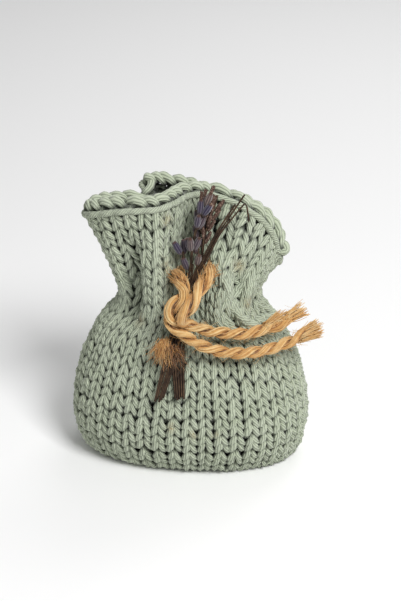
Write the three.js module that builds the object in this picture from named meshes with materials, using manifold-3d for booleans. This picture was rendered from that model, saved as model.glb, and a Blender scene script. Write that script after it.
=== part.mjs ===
// Lavender sachet: a knitted cotton bag gathered at the neck by a jute drawstring,
// with a liner of lavender inside and a bunch of dried lavender held at the front.
// Millimetres, +Z up, front of the bag towards -Y, origin at the middle of the flat base.

import * as THREE from 'three';
import { mergeVertices } from 'three/addons/utils/BufferGeometryUtils.js';
import Module from 'manifold-3d';

const wasm = await Module();
wasm.setup();

// Fits
const CLEARANCE = 0.3;

// Fineness of the shapes
const OVAL_POINTS = 24;
const POINTS_PER_STITCH = 3;
const ROWS_PER_BAND = 4;
const LINER_POINTS = 28;
const LINER_ROWS_PER_BAND = 2;
const TWINE_SIDES = 10;
const STRAND_STEPS = 20;
const DRAWSTRING_STEPS = 36;
const YARN_SIDES = 8;
const YARN_STEPS = 16;
const STEM_SIDES = 6;
const STEM_STEPS = 16;
const TUFT_SIDES = 12;

// Knitted bag: full width and depth of each section, from the flat base up to the shoulder
const FABRIC = 3.6;
const BASE_WIDTH = 93;
const BASE_DEPTH = 47;
const FOOT_WIDTH = 101;
const FOOT_DEPTH = 59;
const FOOT_HEIGHT = 8;
const BELLY_WIDTH = 104;
const BELLY_DEPTH = 64;
const BELLY_HEIGHT = 22;
const CHEST_WIDTH = 98;
const CHEST_DEPTH = 60;
const CHEST_HEIGHT = 41;
const CHEST_SET_BACK = 1;
const SHOULDER_WIDTH = 82;
const SHOULDER_DEPTH = 48;
const SHOULDER_HEIGHT = 59.5;
const SHOULDER_SET_BACK = 3;
const NECK_HEIGHT = 75;
const SQUARENESS = 0.9;

// Pleated outline of the gathered neck, from the left seam round the front: x, y
const NECK_OUTLINE = [
  [-32, 5], [-29, -4], [-21.5, -5], [-17, -13], [-9, -16], [-3, -12], [2, -8.5], [7, -10.5],
  [13, -15], [18.5, -10], [24, -10], [29, -2], [29.5, 6], [26, 15], [18, 18], [13, 15],
  [6, 21], [0, 18], [-7, 22], [-13, 17], [-20, 19], [-29, 13],
];

// Wavy rim of the mouth, in the same order: x, y, rise above the neck
const RIM_OUTLINE = [
  [-46, 4, 35], [-42, -5, 38.5], [-29, -9.5, 42.5], [-15, -8.5, 44.2], [-6, -3, 44.6], [0, 5, 45],
  [8, 8, 44.5], [18, 7.2, 42], [25.5, 7, 38], [31.5, 7.4, 33], [36.2, 9, 24], [38, 12.5, 12],
  [37, 16, 18], [33.5, 18, 28], [28, 19.2, 33], [19, 20, 37], [9, 21, 39.5], [-4, 22, 42.5], [-16, 22, 44],
  [-23, 18, 43.5], [-21.5, 12.5, 41], [-30, 11, 40.5], [-40, 9.5, 38.5],
];

// Stitches round the bag and rows up it, the units that its gathers are set out in
const STITCHES = 40;
const ROWS = 30;

// Crowding of the stitches round the neck and rim: stitch, and its place if all were even
const EVEN = [[0, 0], [STITCHES, STITCHES]];
const CROWDED = [[0, 0], [7.7, 8.7], [12.7, 12], [20, 20], [STITCHES, STITCHES]];

// Grooves between the columns of stitches: depth, column width that is fully grooved, and rows that they fade over
const GROOVE_DEPTH = 1.8;
const GROOVED_WIDTH = 6.5;
const GROOVE_FADE = 2;

// Pleats of the gathers: stitch and row of the middle, rise, half width in stitches, half height in rows,
// and drift in stitches per row
const PLEATS = [
  [2.2, 24, 1, 1, 5, 0], [3.9, 23, -2.8, 0.9, 4.4, 0.26], [5.3, 23.5, 2.2, 0.75, 5, 0],
  [6.45, 25, 2.6, 0.7, 6.5, 0], [7.5, 25, -0.8, 0.9, 5, 0], [10, 24, -2, 1.5, 5, 0],
  [14, 23, 1.8, 0.9, 3.4, -0.85], [15.7, 23.5, -1.8, 0.8, 3.4, -0.75], [17.3, 24, 1.4, 0.9, 5, 0],
  [19, 22, -1.4, 0.9, 3.5, 0], [21.8, 26, 1.2, 1.2, 5, 0], [24.5, 23, 2.2, 0.85, 5, 0],
  [26.6, 22.5, 0.6, 0.9, 5, 0], [29.1, 23, 2.4, 0.85, 5, 0], [31.5, 22.5, -2.4, 0.9, 5, 0],
  [33.8, 23, 2.2, 0.85, 5, 0], [36.2, 22.5, -2.4, 0.9, 5, 0], [38.2, 22.5, 1.8, 0.85, 5, 0],
];

// Hole that the gathers leave in the middle of the neck
const NECK_HOLE_WIDTH = 44;
const NECK_HOLE_DEPTH = 19;
const NECK_HOLE_SET_BACK = 5;

// Yarn of the two side seams, sewn up inside the bag
const SEAM_YARN = 2.4;
const SEAM_GAP = 0.6;

// Organza liner, gathered and tied, and the lavender buds in it
const LINER_WALL = 0.8;
const LINER_SLACK = 2;
const LINER_TIE_HEIGHT = 58;
const LINER_TOP_HEIGHT = 66;
const LINER_NECK = 11;
const LINER_GATHER = 5;
const LINER_MOUTH = 18;
const LINER_THREAD = 1.2;
const FILL_HEIGHT = 46;
const FILL_CROWN_WIDTH = 29;
const FILL_CROWN_DEPTH = 15;

// Jute twine: drawstring inside the neck, two strands over the stems, two free tails
const TWINE = 4.8;
const FRAY_LENGTH = 9;
const FRAY_WIDTH = 7;
const TUFT_LENGTH = 11;
const TUFT_WIDTH = 9;
const TUFT_DEPTH = 4;
const TUFT_X = -0.6;
const TUFT_ALONG = -10;

// Twine routes, x, y and height above the neck, each from the neck towards the free end
const DRAWSTRING_ROUTE = [
  [8.8, -6.4, 16], [8.8, -2.5, 14.4], [8.8, 2.2, 11.5], [13, 4.2, 8.2], [18.4, 6.5, 6], [15.5, 10, 5.2],
  [6, 11.4, 5], [-6, 11.4, 5], [-15.5, 10, 5.2], [-18.4, 6.5, 6], [-13.5, 3.4, 8.2], [-6.5, 1.4, 11],
  [-4.2, -3.5, 13], [-3.7, -8.4, 14],
];
const UPPER_STRAND_ROUTE = [
  [8.9, -7.2, 16.4], [9.2, -10.4, 16.7], [7.5, -16.9, 14.9], [4.9, -22.1, 11.7], [2.2, -25.6, 7.8],
  [-1, -25.9, 4.4], [-2.2, -24.3, 1.8], [-0.6, -22.9, 0], [3.5, -22.9, -0.8],
];
const UPPER_TAIL_ROUTE = [
  [4, -22.9, -0.9], [6.6, -22.9, -1.6], [11, -22.5, -4.6], [18, -21.5, -7.3], [27, -19.5, -8], [36, -15, -7],
  [43, -10.5, -4], [47, -8.2, -1.4],
];
const LOWER_STRAND_ROUTE = [
  [-3.5, -9.4, 14.2], [-3.2, -12.8, 14.9], [-2, -17.2, 14.3], [-0.2, -20.6, 12], [-1.6, -22.9, 9.4],
  [-4.6, -23.6, 6.6], [-7.4, -23.7, 2.7], [-7, -24.3, -1.3], [-3, -25, -5.1], [3.5, -25.9, -8.6],
];
const LOWER_TAIL_ROUTE = [
  [4, -26, -8.9], [6.5, -26.2, -10.3], [11, -25.9, -12.6], [17, -25, -15], [25, -23.6, -16.5],
  [34, -19.8, -16.5], [43, -15.2, -14.3], [51, -11.7, -11], [54.5, -10.4, -9.2],
];

// Lavender bunch: it leans back against the bag, with its stems in two layers under the twine
const STEM = 1;
const STEM_GAP = 1.2;
const LAYER_GAP = 0.4;
const FRONT_LAYER = -0.3;
const BACK_LAYER = FRONT_LAYER - STEM - LAYER_GAP;
const BUNCH_LEAN = THREE.MathUtils.degToRad(22);
const BUNCH_X = -6;
const BUNCH_DROP = 5;
const BUNCH_REACH = 14;
const STEM_FOOT = -33;
const CALYX_LENGTH = 6;
const CALYX_WIDTH = 2.8;
const CALYX_SPLAY = THREE.MathUtils.degToRad(18);

// Stems: name, points across, along and out of the bunch, and calyxes on it as
// share of the way up the stem and turn round it in degrees, from the right by the back
const F = FRONT_LAYER;
const B = BACK_LAYER;
const SPRIGS = [
  ['sprig_tall', [[-5.3, -31.6, F], [0.9, -2, F], [6, 22, F], [8.5, 38, 2.6], [12.5, 55, 2.8]],
    [[0.72, -10], [0.74, 275], [0.81, -10], [0.81, 180], [0.81, 285], [0.89, -18], [0.89, 186], [0.89, 285],
      [0.97, -26], [0.97, 192], [0.97, 285]]],
  ['sprig_left', [[1.5, -30.1, B], [0.9, -2, B], [6, 22, B], [4.4, 28, 0], [2.6, 34.5, 0.6]],
    [[0.88, 180], [0.92, 270], [0.98, 190], [0.99, 250]]],
  ['sprig_middle', [[4.3, -30.4, B], [3.5, -2, B], [8.6, 22, B], [9.2, 36, -3], [9.7, 48, -3]],
    [[0.76, 10], [0.78, 170], [0.86, 0], [0.88, 180], [0.97, 10], [0.98, 170]]],
  ['sprig_right', [[7.1, -30.2, B], [6.1, -2, B], [11.2, 22, B], [14.6, 40, -3], [15.6, 53.5, -3]],
    [[0.78, 0], [0.8, 180], [0.88, 5], [0.9, 175], [0.98, 0], [0.99, 180]]],
  ['stem_short_front', [[-3.9, -30.6, F], [2.2, -2, F], [7.3, 22, F], [8.2, 27, F]], []],
  ['stem_short_left', [[2.9, -30.9, B], [2.2, -2, B], [7.3, 22, B], [7.7, 27, B]], []],
  ['stem_short_right', [[5.7, -29.4, B], [4.8, -2, B], [9.9, 22, B], [11.4, 28, B]], []],
  ['stem_bare_1', [[-2.5, -31.8, F], [3.5, -2, F], [8.6, 22, F], [14, 37, 2.4], [25.4, 53, 3.4]], []],
  ['stem_bare_2', [[-1.1, -30.9, F], [4.8, -2, F], [9.9, 22, F], [16.5, 37, 1], [28.9, 57, 1.2]], []],
  ['stem_bare_3', [[0.3, -29.9, F], [6.1, -2, F], [11.2, 22, F], [19.2, 37, 2.4], [28, 51.8, 3.2],
    [29.4, 53.4, 3.3], [30.2, 52, 3.4], [31.3, 45.8, 3.4]], []],
];

const COTTON = { color: 0xaab79c, roughness: 0.95, metalness: 0 };
const ORGANZA = { color: 0x5b6150, roughness: 0.8, metalness: 0 };
const JUTE = { color: 0xc9924f, roughness: 0.95, metalness: 0 };
const DRY_STEM = { color: 0x4a352b, roughness: 0.9, metalness: 0 };
const DRY_FLOWER = { color: 0x55506b, roughness: 0.9, metalness: 0 };

const sachet = new THREE.Group();

function addPiece(name, geometry, finish, parent = sachet) {
  const mesh = new THREE.Mesh(geometry, new THREE.MeshStandardMaterial(finish));
  mesh.name = name;
  parent.add(mesh);
  return mesh;
}

// Closed solids joined or cut from each other

function toSolid(geometry) {
  const bare = geometry.clone();
  bare.deleteAttribute('normal');
  bare.deleteAttribute('uv');
  const merged = mergeVertices(bare, 1e-4);
  return new wasm.Manifold(new wasm.Mesh({
    numProp: 3,
    vertProperties: new Float32Array(merged.attributes.position.array),
    triVerts: new Uint32Array(merged.index.array),
  }));
}

function fromSolid(solid) {
  const mesh = solid.getMesh();
  const geometry = new THREE.BufferGeometry();
  const positions = new Float32Array(mesh.vertProperties);
  geometry.setAttribute('position', new THREE.BufferAttribute(positions, 3));
  geometry.setIndex([...mesh.triVerts]);
  geometry.computeVertexNormals();
  return geometry;
}

// Sections and lofts

function oval(width, depth, height, setBack = 0, squareness = SQUARENESS) {
  return Array.from({ length: OVAL_POINTS }, (_, i) => {
    const angle = Math.PI + (2 * Math.PI * i) / OVAL_POINTS;
    const across = Math.cos(angle);
    const along = Math.sin(angle);
    const x = (width / 2) * Math.sign(across) * Math.abs(across) ** squareness;
    const y = (depth / 2) * Math.sign(along) * Math.abs(along) ** squareness;
    return new THREE.Vector3(x, setBack + y, height);
  });
}

function evenRing(outline, count) {
  return new THREE.CatmullRomCurve3(outline, true, 'catmullrom').getSpacedPoints(count).slice(0, count);
}

const stitchAt = (i) => (i + 0.5) / POINTS_PER_STITCH;

// Ring of the bag, with its points crowded as its stitches are
function stitchRing(outline, crowding) {
  const curve = new THREE.CatmullRomCurve3(outline, true, 'catmullrom');
  return Array.from({ length: STITCHES * POINTS_PER_STITCH }, (_, i) => {
    const stitch = stitchAt(i);
    const k = crowding.findIndex(([from]) => from > stitch);
    const [[low, lowPlace], [high, highPlace]] = [crowding[k - 1], crowding[k]];
    return curve.getPointAt(THREE.MathUtils.mapLinear(stitch, low, high, lowPlace, highPlace) / STITCHES);
  });
}

// Rings between given rings, smooth from one to the next
function loft(rings, steps) {
  const threads = rings[0].map((_, i) => new THREE.CatmullRomCurve3(
    rings.map((ring) => ring[i]), false, 'catmullrom'));
  const rows = steps * (rings.length - 1);
  return Array.from({ length: rows + 1 }, (_, row) => threads.map((thread) => thread.getPoint(row / rows)));
}

// Ring moved into its own outline by a wall's thickness, level
function insetRing(ring, distance) {
  return ring.map((point, i) => {
    const before = ring[(i + ring.length - 1) % ring.length];
    const after = ring[(i + 1) % ring.length];
    const run = new THREE.Vector2(after.x - before.x, after.y - before.y).normalize();
    return new THREE.Vector3(point.x - run.y * distance, point.y + run.x * distance, point.z);
  });
}

// Rise of the pleats at a stitch and row
function pleatRise(stitch, row) {
  return PLEATS.reduce((total, [across, up, rise, width, height, drift]) => {
    const off = stitch - across - drift * (row - up);
    const away = off - STITCHES * Math.round(off / STITCHES);
    return total + rise * Math.exp(-((away / width) ** 2) - ((row - up) / height) ** 2);
  }, 0);
}

// Depth of the groove beside a column of stitches
function groove(stitch, row, width) {
  const beside = (1 - Math.cos(2 * Math.PI * stitch)) / 2;
  const fade = Math.min(1, row / GROOVE_FADE, (ROWS - row) / GROOVE_FADE);
  return GROOVE_DEPTH * Math.min(1, width / GROOVED_WIDTH) * fade * beside ** 2;
}

// Stack of rings moved out and in by pleats and grooves, with the rows counted evenly up each column
function knitted(rings) {
  const count = rings[0].length;
  const climbs = rings[0].map((_, i) => {
    let climb = 0;
    return rings.map((ring, k) => {
      if (k > 0) climb += ring[i].distanceTo(rings[k - 1][i]);
      return climb;
    });
  });
  return rings.map((ring, k) => ring.map((point, i) => {
    const along = ring[(i + 1) % count].clone().sub(ring[(i + count - 1) % count]);
    const up = rings[Math.min(k + 1, rings.length - 1)][i].clone().sub(rings[Math.max(k - 1, 0)][i]);
    const width = (along.length() / 2) * POINTS_PER_STITCH;
    const row = (ROWS * climbs[i][k]) / climbs[i][rings.length - 1];
    const rise = pleatRise(stitchAt(i), row) - groove(stitchAt(i), row, width);
    return point.clone().addScaledVector(along.cross(up).normalize(), rise);
  }));
}

function middle(ring) {
  const sum = ring.reduce((total, point) => total.add(point), new THREE.Vector3());
  return sum.divideScalar(ring.length);
}

// Closed skin over a stack of rings, with both ends filled
function skin(rings) {
  const count = rings[0].length;
  const first = middle(rings[0]);
  const last = middle(rings[rings.length - 1]);
  const points = [first, ...rings.flat(), last];
  const index = [];
  for (let i = 0; i < count; i += 1) {
    const next = (i + 1) % count;
    index.push(0, 1 + next, 1 + i);
    for (let row = 0; row + 1 < rings.length; row += 1) {
      const low = 1 + row * count;
      const high = low + count;
      index.push(low + i, low + next, high + next);
      index.push(low + i, high + next, high + i);
    }
    const top = 1 + (rings.length - 1) * count;
    index.push(points.length - 1, top + i, top + next);
  }
  const geometry = new THREE.BufferGeometry().setFromPoints(points);
  geometry.setIndex(index);
  geometry.computeVertexNormals();
  return geometry;
}

// Tube of even thickness along a smooth route
function tube(route, diameter, sides, steps) {
  const section = new THREE.Shape();
  section.absarc(0, 0, diameter / 2, 0, 2 * Math.PI);
  const corners = section.getSpacedPoints(sides).slice(0, sides);
  const curve = new THREE.CatmullRomCurve3(route, false, 'catmullrom');
  const straight = new THREE.Shape(corners);
  return new THREE.ExtrudeGeometry(straight, { steps, bevelEnabled: false, extrudePath: curve });
}

// Knitted bag

const neckOutline = NECK_OUTLINE.map(([x, y]) => new THREE.Vector3(x, y, NECK_HEIGHT));
const rimOutline = RIM_OUTLINE.map(([x, y, rise]) => new THREE.Vector3(x, y, NECK_HEIGHT + rise));
const bodyRings = [
  oval(BASE_WIDTH, BASE_DEPTH, 0),
  oval(FOOT_WIDTH, FOOT_DEPTH, FOOT_HEIGHT),
  oval(BELLY_WIDTH, BELLY_DEPTH, BELLY_HEIGHT),
  oval(CHEST_WIDTH, CHEST_DEPTH, CHEST_HEIGHT, CHEST_SET_BACK, 1),
  oval(SHOULDER_WIDTH, SHOULDER_DEPTH, SHOULDER_HEIGHT, SHOULDER_SET_BACK, 1),
].map((outline) => stitchRing(outline, EVEN));
const gatheredRings = [neckOutline, rimOutline].map((outline) => stitchRing(outline, CROWDED));
const outside = knitted(loft([...bodyRings, ...gatheredRings], ROWS_PER_BAND));

// Ovals of the bag's own sections, drawn in by a distance, with a floor at a height
function bodyOvals(inset, floor) {
  return [
    oval(BASE_WIDTH - 2 * inset, BASE_DEPTH - 2 * inset, floor),
    oval(FOOT_WIDTH - 2 * inset, FOOT_DEPTH - 2 * inset, FOOT_HEIGHT),
    oval(BELLY_WIDTH - 2 * inset, BELLY_DEPTH - 2 * inset, BELLY_HEIGHT),
    oval(CHEST_WIDTH - 2 * inset, CHEST_DEPTH - 2 * inset, CHEST_HEIGHT, CHEST_SET_BACK, 1),
  ];
}

const insideRings = [
  ...bodyOvals(FABRIC, FABRIC),
  oval(SHOULDER_WIDTH - 2 * FABRIC, SHOULDER_DEPTH - 2 * FABRIC, SHOULDER_HEIGHT, SHOULDER_SET_BACK, 1),
  oval(NECK_HOLE_WIDTH, NECK_HOLE_DEPTH, NECK_HEIGHT, NECK_HOLE_SET_BACK, 1),
].map((outline) => stitchRing(outline, EVEN));
const rimInside = insetRing(gatheredRings[1], FABRIC);
const inside = loft([...insideRings, rimInside], ROWS_PER_BAND);

const neckGroup = new THREE.Group();
neckGroup.position.z = NECK_HEIGHT;
sachet.add(neckGroup);

const route = (points) => points.map(([x, y, z]) => new THREE.Vector3(x, y, z));
let bagSolid = toSolid(skin([...outside, ...inside.reverse()]));
for (const [points, steps] of [
  [DRAWSTRING_ROUTE, DRAWSTRING_STEPS],
  [UPPER_STRAND_ROUTE, STRAND_STEPS],
  [LOWER_STRAND_ROUTE, STRAND_STEPS],
]) {
  const room = tube(route(points), TWINE + 2 * CLEARANCE, TWINE_SIDES, steps);
  bagSolid = bagSolid.subtract(toSolid(room.translate(0, 0, NECK_HEIGHT)));
}
addPiece('knit_bag', fromSolid(bagSolid), COTTON);

// Side seams: a line of sewing yarn up the inside of each edge of the strip
for (const [name, side] of [['side_seam_left', -1], ['side_seam_right', 1]]) {
  const inset = FABRIC + SEAM_GAP + SEAM_YARN / 2;
  const edge = [
    new THREE.Vector3(side * (FOOT_WIDTH / 2 - inset), 0, FOOT_HEIGHT),
    new THREE.Vector3(side * (BELLY_WIDTH / 2 - inset), 0, BELLY_HEIGHT),
    new THREE.Vector3(side * (CHEST_WIDTH / 2 - inset), CHEST_SET_BACK, CHEST_HEIGHT),
    new THREE.Vector3(side * (SHOULDER_WIDTH / 2 - inset), SHOULDER_SET_BACK, SHOULDER_HEIGHT),
  ];
  addPiece(name, tube(edge, SEAM_YARN, YARN_SIDES, YARN_STEPS), COTTON);
}

// Liner, its thread and the lavender in it
const linerInset = FABRIC + SEAM_GAP + SEAM_YARN + LINER_SLACK;
const linerFloor = FABRIC + CLEARANCE;

function linerRings(inset, floor) {
  const wall = inset - linerInset;
  const neck = LINER_NECK - 2 * wall;
  const mouth = LINER_MOUTH - 2 * wall;
  return [
    ...bodyOvals(inset, floor),
    oval(neck, neck, LINER_TIE_HEIGHT - LINER_GATHER / 2, SHOULDER_SET_BACK, 1),
    oval(neck, neck, LINER_TIE_HEIGHT, SHOULDER_SET_BACK, 1),
    oval(neck, neck, LINER_TIE_HEIGHT + LINER_GATHER / 2, SHOULDER_SET_BACK, 1),
    oval(mouth, mouth, LINER_TOP_HEIGHT, SHOULDER_SET_BACK, 1),
  ].map((outline) => evenRing(outline, LINER_POINTS));
}

const linerOutside = loft(linerRings(linerInset, linerFloor), LINER_ROWS_PER_BAND);
const linerInside = loft(
  linerRings(linerInset + LINER_WALL, linerFloor + LINER_WALL), LINER_ROWS_PER_BAND);
addPiece('liner_pouch', skin([...linerOutside, ...linerInside.reverse()]), ORGANZA);

const threadReach = LINER_NECK / 2 + LINER_THREAD / 2 + CLEARANCE;
const linerThread = new THREE.TorusGeometry(threadReach, LINER_THREAD / 2, YARN_SIDES, LINER_POINTS);
addPiece('liner_tie', linerThread, COTTON).position.set(0, SHOULDER_SET_BACK, LINER_TIE_HEIGHT);

const fillInset = linerInset + LINER_WALL + CLEARANCE;
const fillFloor = linerFloor + LINER_WALL + CLEARANCE;
const fillRings = bodyOvals(fillInset, fillFloor);
const crown = oval(FILL_CROWN_WIDTH, FILL_CROWN_DEPTH, FILL_HEIGHT, CHEST_SET_BACK, 1);
const fillStack = [...fillRings, crown].map((outline) => evenRing(outline, LINER_POINTS));
addPiece('lavender_fill', skin(loft(fillStack, LINER_ROWS_PER_BAND)), DRY_FLOWER);

// Drawstring, strands and tails
const twine = (points, steps) => tube(route(points), TWINE, TWINE_SIDES, steps);
addPiece('neck_drawstring', twine(DRAWSTRING_ROUTE, DRAWSTRING_STEPS), JUTE, neckGroup);
addPiece('twine_strand_upper', twine(UPPER_STRAND_ROUTE, STRAND_STEPS), JUTE, neckGroup);
addPiece('twine_strand_lower', twine(LOWER_STRAND_ROUTE, STRAND_STEPS), JUTE, neckGroup);

// Tail with its frayed end spread like a brush
function frayedTail(points, name) {
  const line = new THREE.CatmullRomCurve3(route(points), false, 'catmullrom');
  const end = line.getPoint(1);
  const heading = line.getTangent(1);
  const fray = new THREE.CylinderGeometry(FRAY_WIDTH / 2, TWINE / 2, FRAY_LENGTH, TWINE_SIDES);
  fray.applyQuaternion(new THREE.Quaternion().setFromUnitVectors(new THREE.Vector3(0, 1, 0), heading));
  const centre = end.clone().addScaledVector(heading, FRAY_LENGTH / 2 - TWINE / 4);
  fray.translate(centre.x, centre.y, centre.z);
  const cord = toSolid(twine(points, STRAND_STEPS));
  addPiece(name, fromSolid(cord.add(toSolid(fray))), JUTE, neckGroup);
}
frayedTail(UPPER_TAIL_ROUTE, 'twine_tail_upper');
frayedTail(LOWER_TAIL_ROUTE, 'twine_tail_lower');

// Bunch of lavender, on a plane moved forward until its stems clear the bag

const bunch = new THREE.Group();
bunch.rotation.x = Math.PI / 2 - BUNCH_LEAN;
const outwards = new THREE.Vector3(0, -Math.cos(BUNCH_LEAN), Math.sin(BUNCH_LEAN));
const bunchHeight = NECK_HEIGHT - BUNCH_DROP;
const footHeight = bunchHeight + STEM_FOOT * Math.cos(BUNCH_LEAN);
const behind = outside.flat().filter((point) => Math.abs(point.x - BUNCH_X) < BUNCH_REACH
  && point.z > footHeight && point.z < NECK_HEIGHT && point.y < 0);
const farthest = Math.max(...behind.map((point) => point.dot(outwards)));
const bunchOut = farthest + STEM_GAP + STEM / 2 - BACK_LAYER;
bunch.position.set(BUNCH_X, (bunchOut - bunchHeight * outwards.z) / outwards.y, bunchHeight);
sachet.add(bunch);

// One calyx, a ribbed bud shape standing on its base
function calyx(length, width) {
  const half = width / 2;
  const profile = [
    [0, 0], [0.55 * half, 0.06 * length], [half, 0.4 * length], [0.8 * half, 0.75 * length], [0, length],
  ].map(([x, y]) => new THREE.Vector2(x, y));
  return new THREE.LatheGeometry(profile, STEM_SIDES);
}

// Stem through its points, with calyxes seated at places along it
function sprig(name, points, calyxes, finish) {
  const line = new THREE.CatmullRomCurve3(route(points), false, 'catmullrom');
  let solid = toSolid(tube(route(points), STEM, STEM_SIDES, STEM_STEPS));
  for (const [share, turn] of calyxes) {
    const bud = calyx(CALYX_LENGTH, CALYX_WIDTH);
    bud.rotateZ(-CALYX_SPLAY);
    bud.rotateY(THREE.MathUtils.degToRad(turn));
    const heading = line.getTangentAt(share);
    bud.applyQuaternion(new THREE.Quaternion().setFromUnitVectors(new THREE.Vector3(0, 1, 0), heading));
    const seat = line.getPointAt(share);
    bud.translate(seat.x, seat.y, seat.z);
    solid = solid.add(toSolid(bud));
  }
  addPiece(name, fromSolid(solid), finish, bunch);
}

for (const [name, points, calyxes] of SPRIGS) {
  sprig(name, points, calyxes, calyxes.length > 0 ? DRY_FLOWER : DRY_STEM);
}

// Frayed tuft of the knot's short end, lying on the stems below the strands
const tuftBack = FRONT_LAYER + STEM / 2 + CLEARANCE;
const tuft = new THREE.CylinderGeometry(TWINE / 4, TUFT_WIDTH / 2, TUFT_LENGTH, TUFT_SIDES);
tuft.scale(1, 1, TUFT_DEPTH / TUFT_WIDTH);
const tuftMesh = addPiece('knot_tuft', tuft, JUTE, bunch);
tuftMesh.position.set(TUFT_X, TUFT_ALONG, tuftBack + TUFT_DEPTH / 2);

export default sachet;
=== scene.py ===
"""Looks of a hand-knitted lavender sachet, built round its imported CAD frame."""

import logging
import math
from collections.abc import Sequence
from dataclasses import dataclass, field
from enum import Enum
from typing import NamedTuple

import bmesh
import bpy
import numpy as np
from bpy.types import Material, Mesh, Node, NodeSocket, NodeTree, Object
from mathutils import Matrix, Vector
from mathutils.kdtree import KDTree


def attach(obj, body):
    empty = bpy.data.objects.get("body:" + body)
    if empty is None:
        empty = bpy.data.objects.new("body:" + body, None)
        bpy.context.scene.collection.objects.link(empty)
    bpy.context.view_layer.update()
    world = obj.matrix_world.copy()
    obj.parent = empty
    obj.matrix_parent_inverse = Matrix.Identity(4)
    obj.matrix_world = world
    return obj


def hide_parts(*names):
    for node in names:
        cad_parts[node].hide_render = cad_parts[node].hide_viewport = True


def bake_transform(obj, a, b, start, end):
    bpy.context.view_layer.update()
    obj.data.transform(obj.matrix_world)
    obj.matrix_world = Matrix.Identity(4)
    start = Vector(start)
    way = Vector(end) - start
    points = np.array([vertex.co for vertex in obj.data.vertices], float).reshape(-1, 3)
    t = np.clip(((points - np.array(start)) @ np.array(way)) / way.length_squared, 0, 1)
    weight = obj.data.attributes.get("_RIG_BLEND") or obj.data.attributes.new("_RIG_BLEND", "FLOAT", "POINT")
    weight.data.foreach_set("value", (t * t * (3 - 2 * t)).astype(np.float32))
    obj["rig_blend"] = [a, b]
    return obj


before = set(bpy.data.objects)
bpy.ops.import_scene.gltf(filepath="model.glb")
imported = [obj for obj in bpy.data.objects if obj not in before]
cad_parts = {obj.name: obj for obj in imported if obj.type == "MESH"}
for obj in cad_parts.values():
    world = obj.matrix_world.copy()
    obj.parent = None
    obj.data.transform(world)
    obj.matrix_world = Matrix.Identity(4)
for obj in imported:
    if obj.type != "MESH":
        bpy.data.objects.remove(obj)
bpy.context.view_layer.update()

MM = 0.001
TURN = 2 * math.pi
LOG = logging.getLogger("sachet")
Array = np.ndarray
Rng = np.random.Generator
Point = tuple[float, float, float]
Profile = tuple[tuple[float, ...], tuple[float, ...]]


class Body(Enum):
    """Bodies of the frame that a piece can ride on."""

    BAG = "bag"
    BUNCH = "bunch"
    TAIL_UPPER = "tail_upper"
    TAIL_LOWER = "tail_lower"


class Slot(Enum):
    """Material slots of the record."""

    COTTON = "cotton_yarn"
    ORGANZA = "organza"
    JUTE = "jute"
    STEM = "dry_stem"
    FLOWER = "dry_flower"


class Lay(Enum):
    """Way that a panel of knitting runs: which end of it was knitted first."""

    DOWNWARDS = 1
    UPWARDS = -1


class FarEnd(Enum):
    """What a cord's far end is at."""

    OBJECT = "object"
    BARE = "bare"


class CordLay(Enum):
    """How a cord lies."""

    TAUT = "taut"
    LOOSE = "loose"


# Colours and nodes


def linear(code: str) -> tuple[float, float, float, float]:
    """Turn an sRGB hex colour into linear light.

    Args:
        code: six hex digits.

    Returns:
        Red, green, blue and an alpha of one.
    """
    parts = [int(code[i:i + 2], 16) / 255 for i in (0, 2, 4)]
    light = [c / 12.92 if c <= 0.04045 else ((c + 0.055) / 1.055) ** 2.4 for c in parts]
    return (*light, 1.0)


def add_node(tree: NodeTree, kind: str, settings: dict | None = None,
             inputs: dict | None = None) -> Node:
    """Add one node with its settings, and its inputs as values or links.

    Args:
        tree: node tree of the material.
        kind: node type without its ShaderNode prefix.
        settings: attributes of the node.
        inputs: socket name or index, and its value or the socket linked to it.

    Returns:
        The new node.
    """
    node = tree.nodes.new("ShaderNode" + kind)
    for name, value in (settings or {}).items():
        setattr(node, name, value)
    for key, value in (inputs or {}).items():
        if isinstance(value, NodeSocket):
            tree.links.new(value, node.inputs[key])
        else:
            node.inputs[key].default_value = value
    return node


SHADER = "Principled BSDF"
COLOURS = {"data_type": "RGBA"}


def blank_material(name: str, **sockets: object) -> Material:
    """Make a material with a principled shader.

    Args:
        name: the real material's name.
        sockets: the shader's constant values, by socket name with _ for each space.

    Returns:
        The material.
    """
    material = bpy.data.materials.new(name)
    material.use_nodes = True
    shader = material.node_tree.nodes[SHADER]
    for key, value in sockets.items():
        shader.inputs[key.replace("_", " ")].default_value = value
    return material


def surface(material: Material, colour: NodeSocket, bump: NodeSocket) -> Material:
    """Link a colour and a bump to a material's shader.

    Args:
        material: the material.
        colour: its base colour.
        bump: its bumped normal.

    Returns:
        The material.
    """
    inputs = material.node_tree.nodes[SHADER].inputs
    material.node_tree.links.new(colour, inputs["Base Color"])
    material.node_tree.links.new(bump, inputs["Normal"])
    return material


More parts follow.
